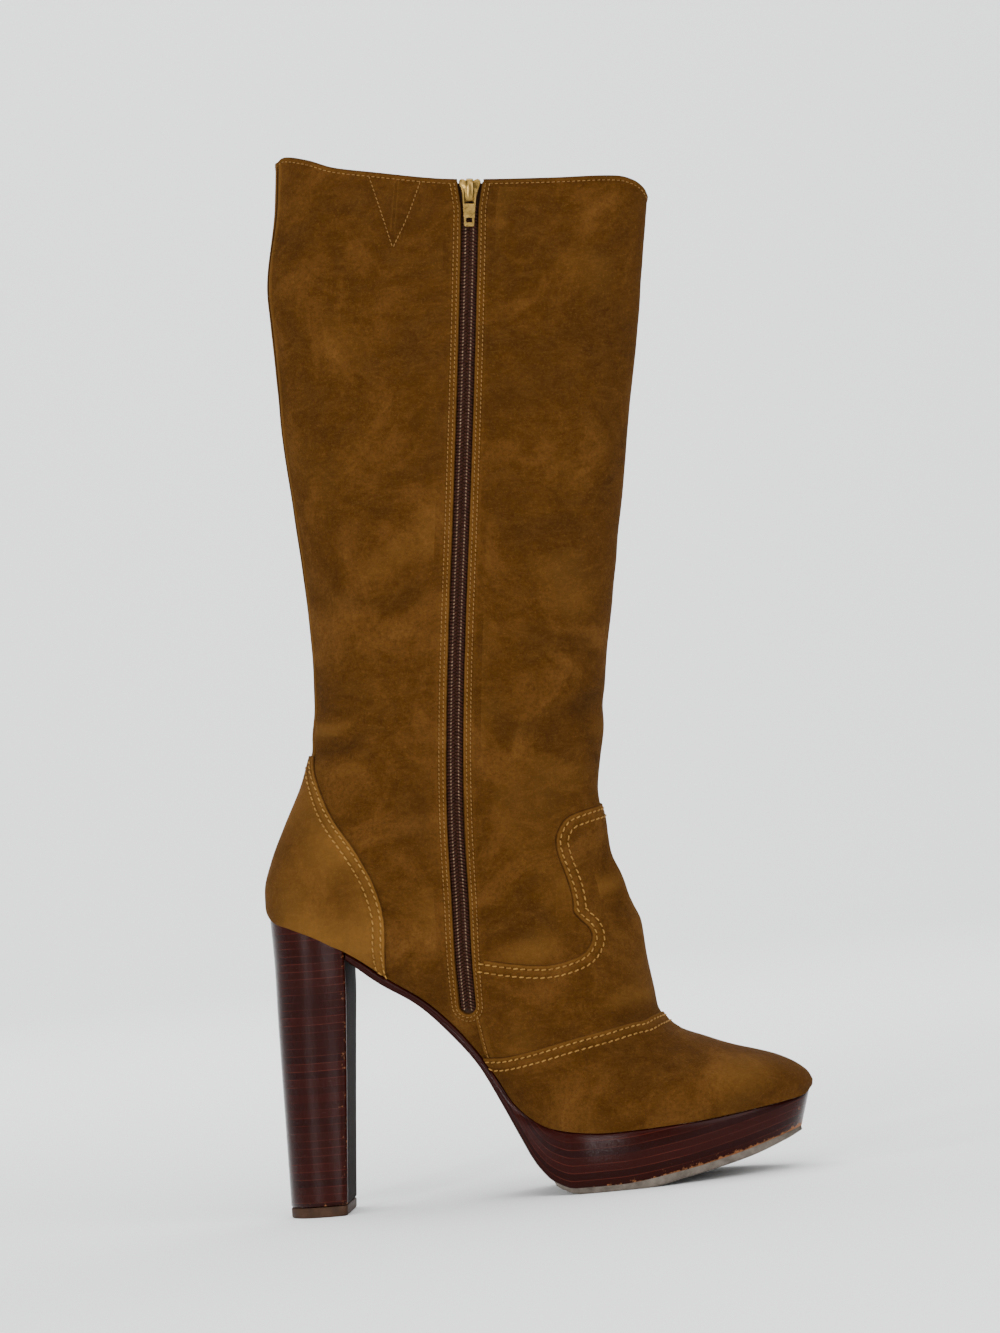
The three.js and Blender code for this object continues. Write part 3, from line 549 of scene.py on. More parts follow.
def suede(name):
    look = Look(name, Roughness=0.95, Specular_IOR_Level=0.05, Sheen_Weight=0.08,
                Sheen_Roughness=0.5, Sheen_Tint=rgba(220, 158, 84))
    patches = look.noise(24, 6, 0.68, warp=0.9)
    brushed = look.noise(70, 5, 0.72, look.stretched(1, 1, 1.7), warp=1.2)
    streaks = look.noise(260, 3, 0.7, look.stretched(1, 1, 3.2), warp=0.6)
    nap = look.noise(620, 4, 0.8)
    flecks = look.noise(950, 3, 0.8)
    base = look.ramp(patches, [
        (0.3, rgba(*SUEDE_DARK)), (0.5, rgba(*SUEDE_MID)), (0.72, rgba(*SUEDE_LIGHT))])
    base = look.mix(look.range(brushed, 0.45, 0.7, 0.0, 0.38), base, rgba(*SUEDE_LIGHT))
    base = look.mix(look.range(streaks, 0.5, 0.72, 0.0, 0.26), base, rgba(*SUEDE_LIGHT))
    base = look.mix(look.range(nap, 0.42, 0.68, 0.0, 0.55), base, rgba(44, 22, 4))
    base = look.mix(look.range(flecks, 0.55, 0.72, 0.0, 0.35), base, rgba(104, 71, 30))
    # Below zero the shade attribute darkens: painted shade in creases, grooves, under edges and
    # down into the slit. Above zero it lightens: painted light on ridges, pillows and rolled edges.
    # Both also carry random patches, and above zero the counter's own lighter tone.
    shade = look.attribute("shade")
    base = look.mix(look.range(shade, -0.1, -1.0, 0.0, 0.8), base, rgba(28, 15, 3))
    base = look.mix(look.range(shade, 0.05, 0.9, 0.0, 0.7), base, rgba(118, 82, 36))
    look.give("Base Color", base)
    soft = look.bump(look.noise(85, 4, 0.6), 0.0013, 0.55)
    fine = look.bump(look.noise(1100, 4, 0.8), 0.00045, 0.85, soft)
    look.give("Normal", look.bump(look.noise(3400, 2, 0.6), 0.00018, 0.6, fine))
    return look.material


def plain(name, dark, light, grain, relief, **values):
    """Two tones and a fine relief. grain is scale, detail and roughness of the noise between the
    tones, relief the same for the height and then its depth and strength."""
    look = Look(name, **values)
    look.two_tones(dark, light, *grain)
    look.give("Normal", look.bump(look.noise(*relief[:3]), *relief[3:]))
    return look.material


def thread(name, colour, dark):
    return plain(name, dark, colour, (700, 2, 0.6), (5200, 2, 0.5, 0.00012, 0.7),
                 Roughness=0.7, Specular_IOR_Level=0.15)


def firm(name, dark, light, scale, roughness, bump_scale, bump_depth, gloss=0.3):
    """Leather, rubber or plastic that differs only in tones and in the size of its grain."""
    return plain(name, dark, light, (scale, 4, 0.65), (bump_scale, 3, 0.6, bump_depth, 0.6),
                 Roughness=roughness, Specular_IOR_Level=gloss)


def stacked(name, along_sole):
    """Lacquered leather layers, level on the heel or following the sole."""
    look = Look(name, Specular_IOR_Level=0.09)
    if along_sole:
        height = look.attribute("layer")
    else:
        split = look.node("ShaderNodeSeparateXYZ", {"Vector": look.place})
        height = look.sum(split.outputs["Z"], 1 / MM, "MULTIPLY")
    sway = look.range(look.noise(24, 2, 0.5), 0.3, 0.7, -0.22, 0.22)
    level = look.sum(height, sway)
    counted = look.sum(level, 1 / LAYER_PITCH, "MULTIPLY")
    phase = look.sum(counted, 0.0, "FRACT")
    line = look.ramp(phase, [
        (0.0, grey(0.9)), (0.05, grey(0.35)), (0.12, grey(0)), (0.95, grey(0)), (1.0, grey(0.9))])
    whole = look.sum(counted, 0.0, "FLOOR")
    each = look.node("ShaderNodeTexWhiteNoise", {"W": whole}, noise_dimensions="1D")
    tone = look.ramp(each.outputs["Value"], [
        (0.0, rgba(28, 3, 1)), (0.5, rgba(33, 5, 2)), (1.0, rgba(40, 7, 3))])
    fibres = look.noise(60, 4, 0.7, look.stretched(1, 1, 14))
    tone = look.mix(look.range(fibres, 0.4, 0.75, 0.0, 0.2), tone, rgba(28, 8, 6))
    broken = look.range(look.noise(34, 3, 0.6, look.stretched(1, 1, 3)), 0.35, 0.62, 0.05, 0.75)
    amount = look.sum(line, broken, "MULTIPLY")
    tone = look.mix(amount, tone, rgba(84, 34, 24))
    wear = look.attribute("wear")
    rough = look.noise(420, 4, 0.7)
    worn = look.sum(wear, look.range(rough, 0.3, 0.7, -0.55, 0.35))
    scuff = look.range(worn, 0.35, 0.62, 0.0, 1.0)
    tone = look.mix(scuff, tone, rgba(126, 80, 48))
    look.give("Base Color", tone)
    gloss = look.range(look.noise(240, 4, 0.7, look.stretched(1, 1, 3)), 0.3, 0.75, 0.15, 0.3)
    look.give("Roughness", look.sum(gloss, look.sum(scuff, 0.4, "MULTIPLY")))
    grooves = look.bump(line, 0.00015, -0.5)
    grain = look.noise(900, 3, 0.6, look.stretched(1, 1, 4))
    look.give("Normal", look.bump(grain, 0.00012, 0.5, grooves))
    return look.material


def brass(name):
    look = Look(name, Metallic=1.0, Specular_IOR_Level=0.5)
    look.two_tones((112, 88, 42), (144, 116, 64), 260, 4, 0.65)
    look.give("Roughness", look.range(look.noise(700, 4, 0.7), 0.3, 0.75, 0.24, 0.38))
    look.give("Normal", look.bump(look.noise(1500, 3, 0.6), 0.00005, 0.25))
    return look.material


def woven(name):
    look = Look(name, Roughness=0.85, Specular_IOR_Level=0.1, Sheen_Weight=0.05)
    look.two_tones((38, 22, 11), (60, 37, 20), 500, 3, 0.6)
    warp, weft = [
        look.node("ShaderNodeTexWave", {"Vector": look.place, "Scale": scale, "Distortion": 0.6},
                  bands_direction=way).outputs["Fac"]
        for scale, way in ((900.0, "X"), (700.0, "Z"))]
    look.give("Normal", look.bump(look.sum(warp, weft), 0.0002, 0.7))
    return look.material


SUEDE = suede("suede")
EDGE = plain("suede_edge", (38, 22, 10), (74, 46, 20), (900, 3, 0.6), (2500, 2, 0.6, 0.0002, 0.6),
             Roughness=0.85, Specular_IOR_Level=0.2)
THREAD = thread("thread", (150, 112, 54), (106, 72, 28))
FINE_THREAD = thread("fine_thread", (130, 96, 48), (92, 62, 26))
STACKED_HEEL = stacked("stacked_heel", False)
STACKED_SOLE = stacked("stacked_sole", True)
LINING = firm("lining", (150, 112, 70), (186, 146, 98), 60, 0.75, 1500, 0.0002)
INSOLE = firm("insole_leather", (158, 120, 78), (196, 158, 110), 40, 0.6, 1100, 0.0002)
RUBBER = firm("outsole_rubber", (66, 59, 52), (104, 95, 86), 180, 0.85, 1300, 0.0004)
LIFT = firm("top_lift_rubber", (47, 31, 21), (66, 45, 32), 160, 0.6, 1500, 0.0002, 0.1)
# The heel's breast: the stack's leather painted near black, as painted shade on a face turned from
# the light.
BREAST_PAINTED_SHADE = firm("heel_breast", (14, 5, 4), (26, 9, 7), 300, 0.8, 1200, 0.0002, 0.05)
BRASS = brass("brass")
TAPE = woven("zip_tape")
COIL = firm("zip_coil", (34, 14, 7), (56, 26, 14), 900, 0.5, 2600, 0.0001, 0.12)
# Pale thread: partly the cord's own colour, partly a painted highlight for the light caught on the
# coil's beads.
CHAIN_THREAD_AND_HIGHLIGHT = thread("chain_thread_and_painted_highlight", (132, 108, 86), (64, 45, 32))

# ---- the upper
SKIN_STEP = 2.1
FACETS = 40
COLLAR_BLEND = 2.0


def skin_stations():
    """Values of u at about even spacing down the boot, from the end of the collar blend."""
    fine = np.linspace(COLLAR_BLEND, len(SECTIONS) - 1.0, 3000)
    front = np.stack([FRONT_X(fine), FRONT_Z(fine)], axis=-1)
    back = np.stack([BACK_X(fine), BACK_Z(fine)], axis=-1)
    moved = np.linalg.norm(np.diff(front, axis=0), axis=1)
    moved = np.maximum(moved, np.linalg.norm(np.diff(back, axis=0), axis=1))
    length = np.concatenate([[0], np.cumsum(moved)])
    count = int(length[-1] / SKIN_STEP)
    return np.interp(np.linspace(0, length[-1], count + 1), length, fine)


def side_angles():
    quarter = np.linspace(0, 1, FACETS + 1)
    outer = np.concatenate([1 + quarter[::-1], quarter[-2::-1]])
    return np.concatenate([outer, -outer[-2::-1]])


def collar_station(t):
    """u where the collar's edge crosses each angle."""
    low, high = np.zeros_like(t), np.full_like(t, COLLAR_BLEND)
    for _ in range(40):
        middle = (low + high) / 2
        p = skin(middle, t)
        above = p[..., 2] > collar_z(p[..., 0])
        low = np.where(above, middle, low)
        high = np.where(above, high, middle)
    return (low + high) / 2


ANGLES = side_angles()
EDGE_U = collar_station(ANGLES)
COLLAR_ROWS = 20
EDGE_FADE = 6       # rows over which the relief fades in below the collar
TIP_FADE = 8
SEAM_FADE = 0.12
LEAST_RELIEF = 0.15
WAVINESS = ((0.55, 38, 3.0), (0.22, 13, 9.0))  # height, period, seed
PATCHINESS = 0.34
PATCH_PERIOD = 30
PATCH_SEED = 21.0
blend = np.linspace(0, 1, COLLAR_ROWS, endpoint=False)[:, None]
upper_u = np.vstack([
    EDGE_U[None, :] + (COLLAR_BLEND - EDGE_U[None, :]) * blend,
    np.repeat(skin_stations()[:, None], len(ANGLES), axis=1),
])
plain_skin = skin(upper_u, ANGLES[None, :])
plain_normals = grid_normals(plain_skin)
raised, SHADE = relief(plain_skin)
for amount, period, seed in WAVINESS:
    raised = raised + amount * unevenness(plain_skin, period, seed)
row_numbers = np.arange(len(upper_u))
edge_fade = np.clip(row_numbers / EDGE_FADE, 0, 1)[:, None]
tip_fade = np.clip((len(upper_u) - 1 - row_numbers) / TIP_FADE, 0, 1)[:, None]
seam_fade = np.clip((2 - np.abs(ANGLES)) / SEAM_FADE, 0, 1)[None, :]
raised = raised * edge_fade * tip_fade * (LEAST_RELIEF + (1 - LEAST_RELIEF) * seam_fade)
upper_points = plain_skin + plain_normals * raised[..., None]
SHADE = SHADE + PATCHINESS * unevenness(plain_skin, PATCH_PERIOD, PATCH_SEED)

ROWS, COLUMNS = upper_points.shape[:2]
SURFACE = BVHTree.FromPolygons(
    [Vector(p) for p in upper_points.reshape(-1, 3)], grid_faces(ROWS, COLUMNS),
    all_triangles=False)
INNER_SIDE = -5      # y below which a point counts as beside the zip
SUEDE_MARGIN = 1.3   # the suede's mesh stops this far from the slit, under the lip
LINING_MARGIN = 0.8
RIM_MARGIN = 0.3
LINING_DROP = 6      # rows of the lining left open at the toe
MARGIN_START = 0.1


def zip_half(z):
    flare = np.clip((z - ZIP_TOP + ZIP_NOTCH_LENGTH) / ZIP_NOTCH_LENGTH, 0, 1)
    return ZIP_HALF + (ZIP_NOTCH_HALF - ZIP_HALF) * flare


def outside_slit(points, margin):
    """True where a point of the upper is clear of the zip slit."""
    x, y, z = points[..., 0], points[..., 1], points[..., 2]
    below = np.maximum(ZIP_BOTTOM - z, 0)
    away = np.hypot((x - zip_x(np.maximum(z, ZIP_BOTTOM))) * 0.99, below)
    return (away > zip_half(z) + margin) | (y > INNER_SIDE)


def cells_beside_slit(points, margin):
    clear = outside_slit(points, margin)
    return clear[:-1, :-1] & clear[1:, :-1] & clear[:-1, 1:] & clear[1:, 1:]


def make_upper():
    faces = grid_faces(ROWS, COLUMNS, keep=cells_beside_slit(upper_points, SUEDE_MARGIN))
    tip = ROWS * COLUMNS
    vertices = np.vstack([upper_points.reshape(-1, 3), upper_points[-1].mean(axis=0)[None, :]])
    start = (ROWS - 1) * COLUMNS
    faces += [(start + k, start + k + 1, tip) for k in range(COLUMNS - 1)]
    used, faces = used_only(faces)
    shade = np.append(SHADE.ravel(), 0.0)[used]
    piece = new_mesh("upper_suede", to_frame(vertices[used]), faces, SUEDE, "suede", shade=shade)
    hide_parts("upper")


def make_lasting_margin():
    """The leather turned in under the foot, closing the upper between its bottom edges."""
    rows = [i for i in range(ROWS) if upper_u[i, 0] >= SEAT_ROW + MARGIN_START]
    vertices = []
    for i in rows:
        outer, inner = upper_points[i, 0], upper_points[i, -1]
        vertices += [outer, (outer + inner) / 2, inner]
    faces = grid_faces(len(rows), 3)
    new_mesh("lasting_margin", to_frame(vertices), faces, EDGE, "suede")


def make_lining():
    depth = plain_skin - plain_normals * LEATHER
    keep = cells_beside_slit(depth, LINING_MARGIN)
    keep[-LINING_DROP:, :] = False
    used, faces = used_only(grid_faces(ROWS, COLUMNS, keep=keep, flip=True))
    new_mesh("lining", to_frame(depth.reshape(-1, 3)[used]), faces, LINING, "insole")


make_upper()
make_lasting_margin()
make_lining()


# ---- paths on the surface
FAR = 99.0
RAY_START = 200.0    # well outside the boot
NEAR_MIDDLE = 8.0    # where to look for the face when a ray passes the outline
DIP = 1.3            # how deep an overlay's edge dips beside the zip
DIP_REACH = 6.2
DIP_LENGTH = 3.0


def surface_point(x, z, side):
    """The point of the upper seen at x, z from one side."""
    start = Vector((x, side * RAY_START, z))
    hit = SURFACE.ray_cast(start, Vector((0, -side, 0)))[0]
    if hit is None:
        hit = SURFACE.find_nearest(Vector((x, side * NEAR_MIDDLE, z)))[0]
    return np.array(hit)


def on_surface(points):
    """Moves points onto the upper and returns them with the outward normals there."""
    placed, normals = [], []
    for p in points:
        hit, normal, _, _ = SURFACE.find_nearest(Vector(p))
        placed.append(np.array(hit))
        normals.append(np.array(normal))
    return np.array(placed), np.array(normals)


def path_on(points, step=1.0):
    """A smooth path on the surface: positions, tangents, normals and the way to its left."""
    line = resample(points, step)
    placed, normals = on_surface(line)
    for _ in range(2):
        smoothed = normals.copy()
        smoothed[1:-1] = (normals[:-2] + 2 * normals[1:-1] + normals[2:]) / 4
        normals = smoothed
    normals /= np.linalg.norm(normals, axis=1, keepdims=True)
    tangents = np.gradient(placed, axis=0)
    tangents /= np.maximum(np.linalg.norm(tangents, axis=1, keepdims=True), 1e-9)
    left = np.cross(normals, tangents)
    left /= np.maximum(np.linalg.norm(left, axis=1, keepdims=True), 1e-9)
    return placed, tangents, normals, left


def side_path(table, side, step=1.0):
    return path_on([surface_point(x, z, side) for x, z in table], step)


def slit_distance(points):
    """How far points of the inner side lie from the edge of the zip slit."""
    below = np.maximum(ZIP_BOTTOM - points[..., 2], 0)
    across = points[..., 0] - zip_x(np.maximum(points[..., 2], ZIP_BOTTOM))
    away = np.hypot(across, below) - zip_half(points[..., 2])
    return np.where(points[..., 1] > INNER_SIDE, FAR, away)


def band(name, path, profile, sign=1, material=SUEDE, fade=0, under_zip=False):
    """A strip of leather along a path. profile lists (distance to the side, height, shade).
    Over `fade` steps it rises from each end, and with under_zip it dips under the leather
    beside the zip."""
    placed, _, _, left = path
    distances, heights, tones = np.array(profile, float).T
    count = len(placed)
    rows = []
    for i in range(count):
        ends = 1.0
        if fade:
            ends = min(1.0, (i + 0.2) / fade, (count - 1 - i + 0.2) / fade)
        foot, normal = on_surface(placed[i] + left[i] * (sign * distances)[:, None])
        lift = np.where(heights > 0, heights * ends, heights)
        if under_zip:
            near = (DIP_REACH - slit_distance(foot)) / DIP_LENGTH
            lift = lift - DIP * np.clip(near, 0, 1)
        rows.append(foot + normal * lift[:, None])
    rows = np.array(rows)
    faces = grid_faces(count, len(profile), flip=sign < 0)
    return new_mesh(name, to_frame(rows.reshape(-1, 3)), faces, material, "suede",
                    shade=np.tile(tones, count))


def shifted(path, distance, height=0.0):
    """The same path moved sideways on the surface and then raised off it."""
    placed, _, _, left = path
    moved, _ = on_surface(placed + left * distance)
    placed, tangents, normals, left = path_on(moved)
    return placed + normals * height, tangents, normals, left


# ---- stitches
PILL_SIDES = 6
STITCH_RINGS = (  # place along a stitch, thickness, rise
    (-1.0, 0.35, -0.7), (-0.82, 0.85, 0.15), (-0.4, 1.0, 0.75),
    (0.4, 1.0, 0.75), (0.82, 0.85, 0.15), (1.0, 0.35, -0.7))


def pill(centre, along, normal, half, radius, rings):
    """A small closed bar lying along `along`, by shares of its half length and radius."""
    across = unit(np.cross(normal, along))
    placed = []
    for where, thick, rise in rings:
        middle = centre + along * (half * where) + normal * (radius * rise)
        placed.append([middle + (across * math.cos(angle) + normal * math.sin(angle))
                       * radius * thick
                       for angle in (2 * math.pi * k / PILL_SIDES for k in range(PILL_SIDES))])
    return ring_solid(placed)


def stitch_row(path, pitch, length, radius, slant=0.16, seed=1):
    """Vertices and faces of a row of stitches lying along a path."""
    placed, tangents, normals, _ = path
    at = lengths_along(placed)
    rng = random.Random(seed)
    stitches = []
    where = pitch / 2
    while where < at[-1] - pitch * 0.3:
        centre, tangent, normal = [read_off(where, at, field)
                                   for field in (placed, tangents, normals)]
        tangent, normal = unit(tangent), unit(normal)
        side = unit(np.cross(normal, tangent))
        turn = slant + rng.uniform(-0.05, 0.05)
        ahead = unit(tangent * math.cos(turn) + side * math.sin(turn))
        half = length / 2 * rng.uniform(0.94, 1.05)
        stitches.append(pill(centre, ahead, normal, half, radius, STITCH_RINGS))
        where += pitch
    return join_parts(stitches)


def joined_piece(name, parts, material=THREAD, slot="suede"):
    vertices, faces = join_parts(parts)
    new_mesh(name, to_frame(vertices), faces, material, slot)


SEAM = {"pitch": 3.0, "length": 2.25, "radius": 0.33}
FINE = {"pitch": 1.9, "length": 1.35, "radius": 0.22}


# ---- overlays and seams
def ring_path(inner_table, outer_table, step=1.0):
    """A path that comes up one side, crosses the front and goes down the other."""
    inner = [surface_point(x, z, INNER) for x, z in inner_table]
    outer = [surface_point(x, z, OUTER) for x, z in outer_table]
    return path_on(inner[::-1] + outer, step)


OVERLAY = [  # across an overlay's edge: distance, height, shade
    # painted shade where the edge dips under, painted light on its rolled top and between the
    # stitch rows
    (-0.35, -0.5, -1.2), (-0.1, 0.25, -1.0), (0.1, 0.72, -0.1), (0.55, 0.9, 0.35), (1.3, 0.82, 0.3),
    (1.9, 0.62, 0.0), (2.5, 0.8, 0.2), (3.9, 0.8, 0.15), (5.2, 0.6, 0.0), (5.8, 0.72, 0.1),
    (8, 0.5, 0.05), (12, 0.1, 0), (15, -0.3, 0),
]
NEAR_ROW = 1.9
STITCH_BED = 0.62


def make_overlay_seam(name, inner, outer, far_row, seed, under_zip):
    """The edge of an overlay across the foot, with its two rows of stitches."""
    path = ring_path(inner, outer)
    band(name + "_edge", path, OVERLAY, sign=-1, under_zip=under_zip)
    rows = [stitch_row(shifted(path, -distance, STITCH_BED), seed=seed + number, **SEAM)
            for number, distance in enumerate((NEAR_ROW, far_row))]
    joined_piece(name + "_stitches", rows)


make_overlay_seam("instep", WAVE_INNER, WAVE_OUTER, 5.3, 3, True)
make_overlay_seam("vamp", VAMP_INNER, VAMP_OUTER, 5.5, 5, False)

GROOVE = [  # across a plain seam
    # painted shade in the groove, painted light on the raised lips beside it
    (-1.9, -0.3, 0), (-1.2, 0.12, 0.1), (-0.55, 0.22, 0.2), (-0.2, -0.2, -1.2),
    (0.2, -0.2, -1.2), (0.55, 0.22, 0.2), (1.2, 0.12, 0.1), (1.9, -0.3, 0),
]
BACK_RIDGE = [  # across the seam up the back of the shaft
    # painted shade in the seam's groove, painted light on the ridges beside it
    (-3.6, -0.3, 0), (-2.6, 0.12, 0.1), (-1.7, 0.35, 0.4), (-0.8, 0.5, 0.5), (-0.4, 0.1, -1.2),
    (0.4, 0.1, -1.2), (0.8, 0.45, 0.4), (1.7, 0.3, 0.3), (2.6, 0.12, 0.1), (3.6, -0.3, 0),
]


def make_shaft_seam(name, start_t, end_t, last_u, count, profile):
    """A seam down the shaft from the collar, between two places t round the upper."""
    first_u = float(collar_station(np.array([start_t]))[0]) + 0.01
    u = np.linspace(first_u, last_u, count)
    band(name, path_on(skin(u, np.linspace(start_t, end_t, count)), 2.0), profile)


def make_gore():
    """The V-shaped gore at the collar, behind the zip."""
    left = side_path([(83.6, 440), (87.2, 424), (90.7, 408)], INNER)
    right = side_path([(105.5, 435), (98.6, 421), (90.7, 408)], INNER)
    middle = side_path([(95.6, 437.4), (93.4, 426), (91.4, 415)], INNER)
    band("gore_middle", middle, GROOVE)
    rows = [stitch_row(shifted(path, 0.0, 0.05), seed=20 + number, **FINE)
            for number, path in enumerate((left, right))]
    joined_piece("gore_stitches", rows, FINE_THREAD)


make_shaft_seam("back_seam", -1.86, -1.93, 6.9, 120, BACK_RIDGE)
# The closed seam down the front lies a little to the outer side.
make_shaft_seam("front_seam", 0.3, 0.06, 10.1, 90, GROOVE)
make_gore()

# ---- heel counter
COUNTER_BED = 1.05   # height of the stitches
COUNTER_U = (6.72, 15.95)
COUNTER_TOP = 195.2
COUNTER_FOOT = 97
COUNTER_LINES = 96
COUNTER_LIGHT = 0.3
COUNTER_PATCHES = 0.4
WELD_GAP = 0.03
COUNTER_PROFILE = [  # distance in from the edge, height, shade
    # painted shade where the edge steps down, painted light on the rolled edge and between the
    # stitch rows
    (0.0, -0.4, -1.2), (0.06, 0.5, -1.1), (0.18, 1.0, -0.3), (0.6, 1.3, 0.4), (1.3, 1.25, 0.3),
    (1.8, 1.02, 0.0), (2.3, 1.22, 0.15), (3.4, 1.28, 0.15), (4.7, 1.2, 0.1), (5.2, 0.98, 0.0),
    (5.7, 1.2, 0.1), (7, 1.28, 0.12), (9, 1.3, 0.1),
]


def counter_rows(side):
    """Rows of the counter on one side, from its edge to the back or to the feather line."""
    edge = smooth([(z, x) for x, z in (COUNTER_INNER if side == INNER else COUNTER_OUTER)], 1)
    distances, heights, shades = np.array(COUNTER_PROFILE).T
    rows, tones = [], []
    t = np.linspace(0.3, 2.0, 700)
    for u in np.linspace(*COUNTER_U, COUNTER_LINES):
        line = skin(u, t * side)
        ahead = np.nonzero(
            line[:, 0] >= edge(np.clip(line[:, 2], COUNTER_FOOT, COUNTER_TOP)))[0]
        first = min(int(ahead[-1]) + 1 if len(ahead) else 0, len(t) - 2)
        line = line[first:]
        length = lengths_along(line)
        total = length[-1]
        rest = np.linspace(min(distances[-1], total), total, 19)[1:]
        at = np.concatenate([np.minimum(distances, total), rest])
        placed, normals = on_surface(read_off(at, length, line))
        height = np.interp(at, distances, heights)
        tone = np.interp(at, distances, shades)
        hem = min(max((u - SEAT_ROW) / 0.05, 0.0), 1.0)
        end = placed[-1] + normals[-1] * (height[-1] * (1 - hem) - GAP * hem)
        rows.append(np.vstack([placed + normals * height[:, None], end[None, :]]))
        tones.append(np.append(tone, tone[-1]))
    rows = np.array(rows)
    for _ in range(3):
        rows[1:-1] = (rows[:-2] + 2 * rows[1:-1] + rows[2:]) / 4
    return rows, np.array(tones)


def make_counter():
    parts, shades = [], []
    for side in (INNER, OUTER):
        rows, tones = counter_rows(side)
        shades.append(tones.ravel())
        parts.append((rows.reshape(-1, 3),
                      grid_faces(rows.shape[0], rows.shape[1], flip=side == INNER)))
    points, faces = join_parts(parts)
    points = np.array(points)
    lighter = COUNTER_LIGHT + COUNTER_PATCHES * unevenness(points, 26, 5.0)
    piece = new_mesh("counter_suede", to_frame(points), faces, SUEDE, "suede",
                     shade=np.concatenate(shades) + lighter)
    weld = piece.modifiers.new("weld", "WELD")
    weld.merge_threshold = WELD_GAP * MM
    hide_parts("heel_counter")
    rows = []
    for side, table in ((INNER, COUNTER_INNER), (OUTER, COUNTER_OUTER)):
        path = side_path(table, side)
        for number, distance in enumerate((1.8, 5.2)):
            lifted = shifted(path, side * distance, COUNTER_BED)
            rows.append(stitch_row(lifted, seed=30 + number, **SEAM))
    joined_piece("counter_stitches", rows)


make_counter()


# ---- zip
def notch_corner(way):
    """Where the collar's edge meets the zip slit, behind it (-1) or ahead of it (1)."""
    x = float(zip_x(ZIP_TOP)) + way * ZIP_NOTCH_HALF
    return surface_point(x, float(collar_z(x)), INNER)


def slit_edge():
    """Side-view outline of the slit, from the collar down and up again."""
    left, right = [
        [(float(zip_x(z) + way * zip_half(z)), float(z))
         for z in np.linspace(notch_corner(way)[2] - 0.5, ZIP_BOTTOM, 60)] for way in (-1, 1)]
    angles = [math.pi * k / 12 for k in range(1, 12)]
    end = [(float(zip_x(ZIP_BOTTOM)) - ZIP_HALF * math.cos(angle),
            ZIP_BOTTOM - ZIP_HALF * math.sin(angle)) for angle in angles]
    return left + end + right[::-1]


SLIT_LIP = [  # out from the slit's edge: distance, height, shade
    # painted shade down the wall into the slit, painted light on the rolled top and between the
    # stitch rows
    (-0.1, -2.2, -1.2), (-0.16, -1.0, -1.0), (-0.05, 0.0, -0.4), (0.2, 0.4, 0.25),
    (0.75, 0.52, 0.35), (1.3, 0.34, 0.0), (1.8, 0.5, 0.2), (2.6, 0.5, 0.15), (3.3, 0.32, 0.0),
    (3.9, 0.46, 0.12), (5.2, 0.34, 0.05), (6.6, 0.12, 0), (8.2, -0.12, 0), (9.2, -0.5, 0),
]
TAPE_PROFILE = [  # across the zip: distance, height, shade
    (-6.4, -2.3, 0), (-4.6, -1.9, 0), (-2.9, -1.7, 0), (-2.7, -1.35, 0), (0, -1.2, 0),
    (2.7, -1.35, 0), (2.9, -1.7, 0), (4.6, -1.9, 0), (6.4, -2.3, 0),
]
COIL_PITCH = 1.45
COIL_TOP = 423
COIL_OUT = 1.7
BEAD_RINGS = (  # place along a turn of the coil, thickness, rise
    (-1.0, 0.45, 0), (-0.8, 0.9, 0), (-0.3, 1.0, 0), (0.3, 1.0, 0), (0.8, 0.9, 0), (1.0, 0.45, 0))
COIL_DEPTH = 0.75
BEAD_HALF = 1.75
BEAD_RADIUS = 0.52
CHAIN_THREAD_OUT = 1.65
CHAIN_THREAD_HEIGHT = -0.26
LIP_ROWS = ((1.3, 0.36), (3.0, 0.34))  # the lip's two rows of stitches: distance, height


def zip_line(top, bottom, count=60):
    return side_path([(float(zip_x(z)), float(z)) for z in np.linspace(top, bottom, count)],
                     INNER)


def make_zip():
    edge = path_on([surface_point(x, z, INNER) for x, z in slit_edge()], 1.0)
    band("slit_lip", edge, SLIT_LIP, sign=-1)
    rows = [stitch_row(shifted(edge, -distance, height), seed=40 + number, **FINE)
            for number, (distance, height) in enumerate(LIP_ROWS)]
    joined_piece("zip_stitches", rows, FINE_THREAD)
    tape = band("zip_tape", zip_line(ZIP_TOP - 1, ZIP_BOTTOM - 8), TAPE_PROFILE, material=TAPE)
    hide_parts("zip")
    line = zip_line(COIL_TOP, ZIP_BOTTOM - 2.5)
    at = lengths_along(line[0])
    parts = []
    for number, where in enumerate(np.arange(0.4, at[-1], COIL_PITCH / 2)):
        centre, tangent, normal, side = [read_off(where, at, field) for field in line]
        way = 1 if number % 2 else -1
        lean = unit(side * way + tangent * 0.4)
        spot = centre + side * (way * COIL_OUT) - normal * COIL_DEPTH
        parts.append(pill(spot, lean, normal, BEAD_HALF, BEAD_RADIUS, BEAD_RINGS))
    joined_piece("zip_coil", parts, COIL, "zip")
    # The cords' pale dots are partly the zip's own cord and partly painted highlights on the coil's
    # beads.
    cords = [stitch_row(shifted(line, way * CHAIN_THREAD_OUT, CHAIN_THREAD_HEIGHT), seed=45 + way,
                        pitch=COIL_PITCH, length=0.95, radius=0.3, slant=0.4 * way)
             for way in (-1, 1)]
    joined_piece("zip_chain_thread", cords, CHAIN_THREAD_AND_HIGHLIGHT, "zip")


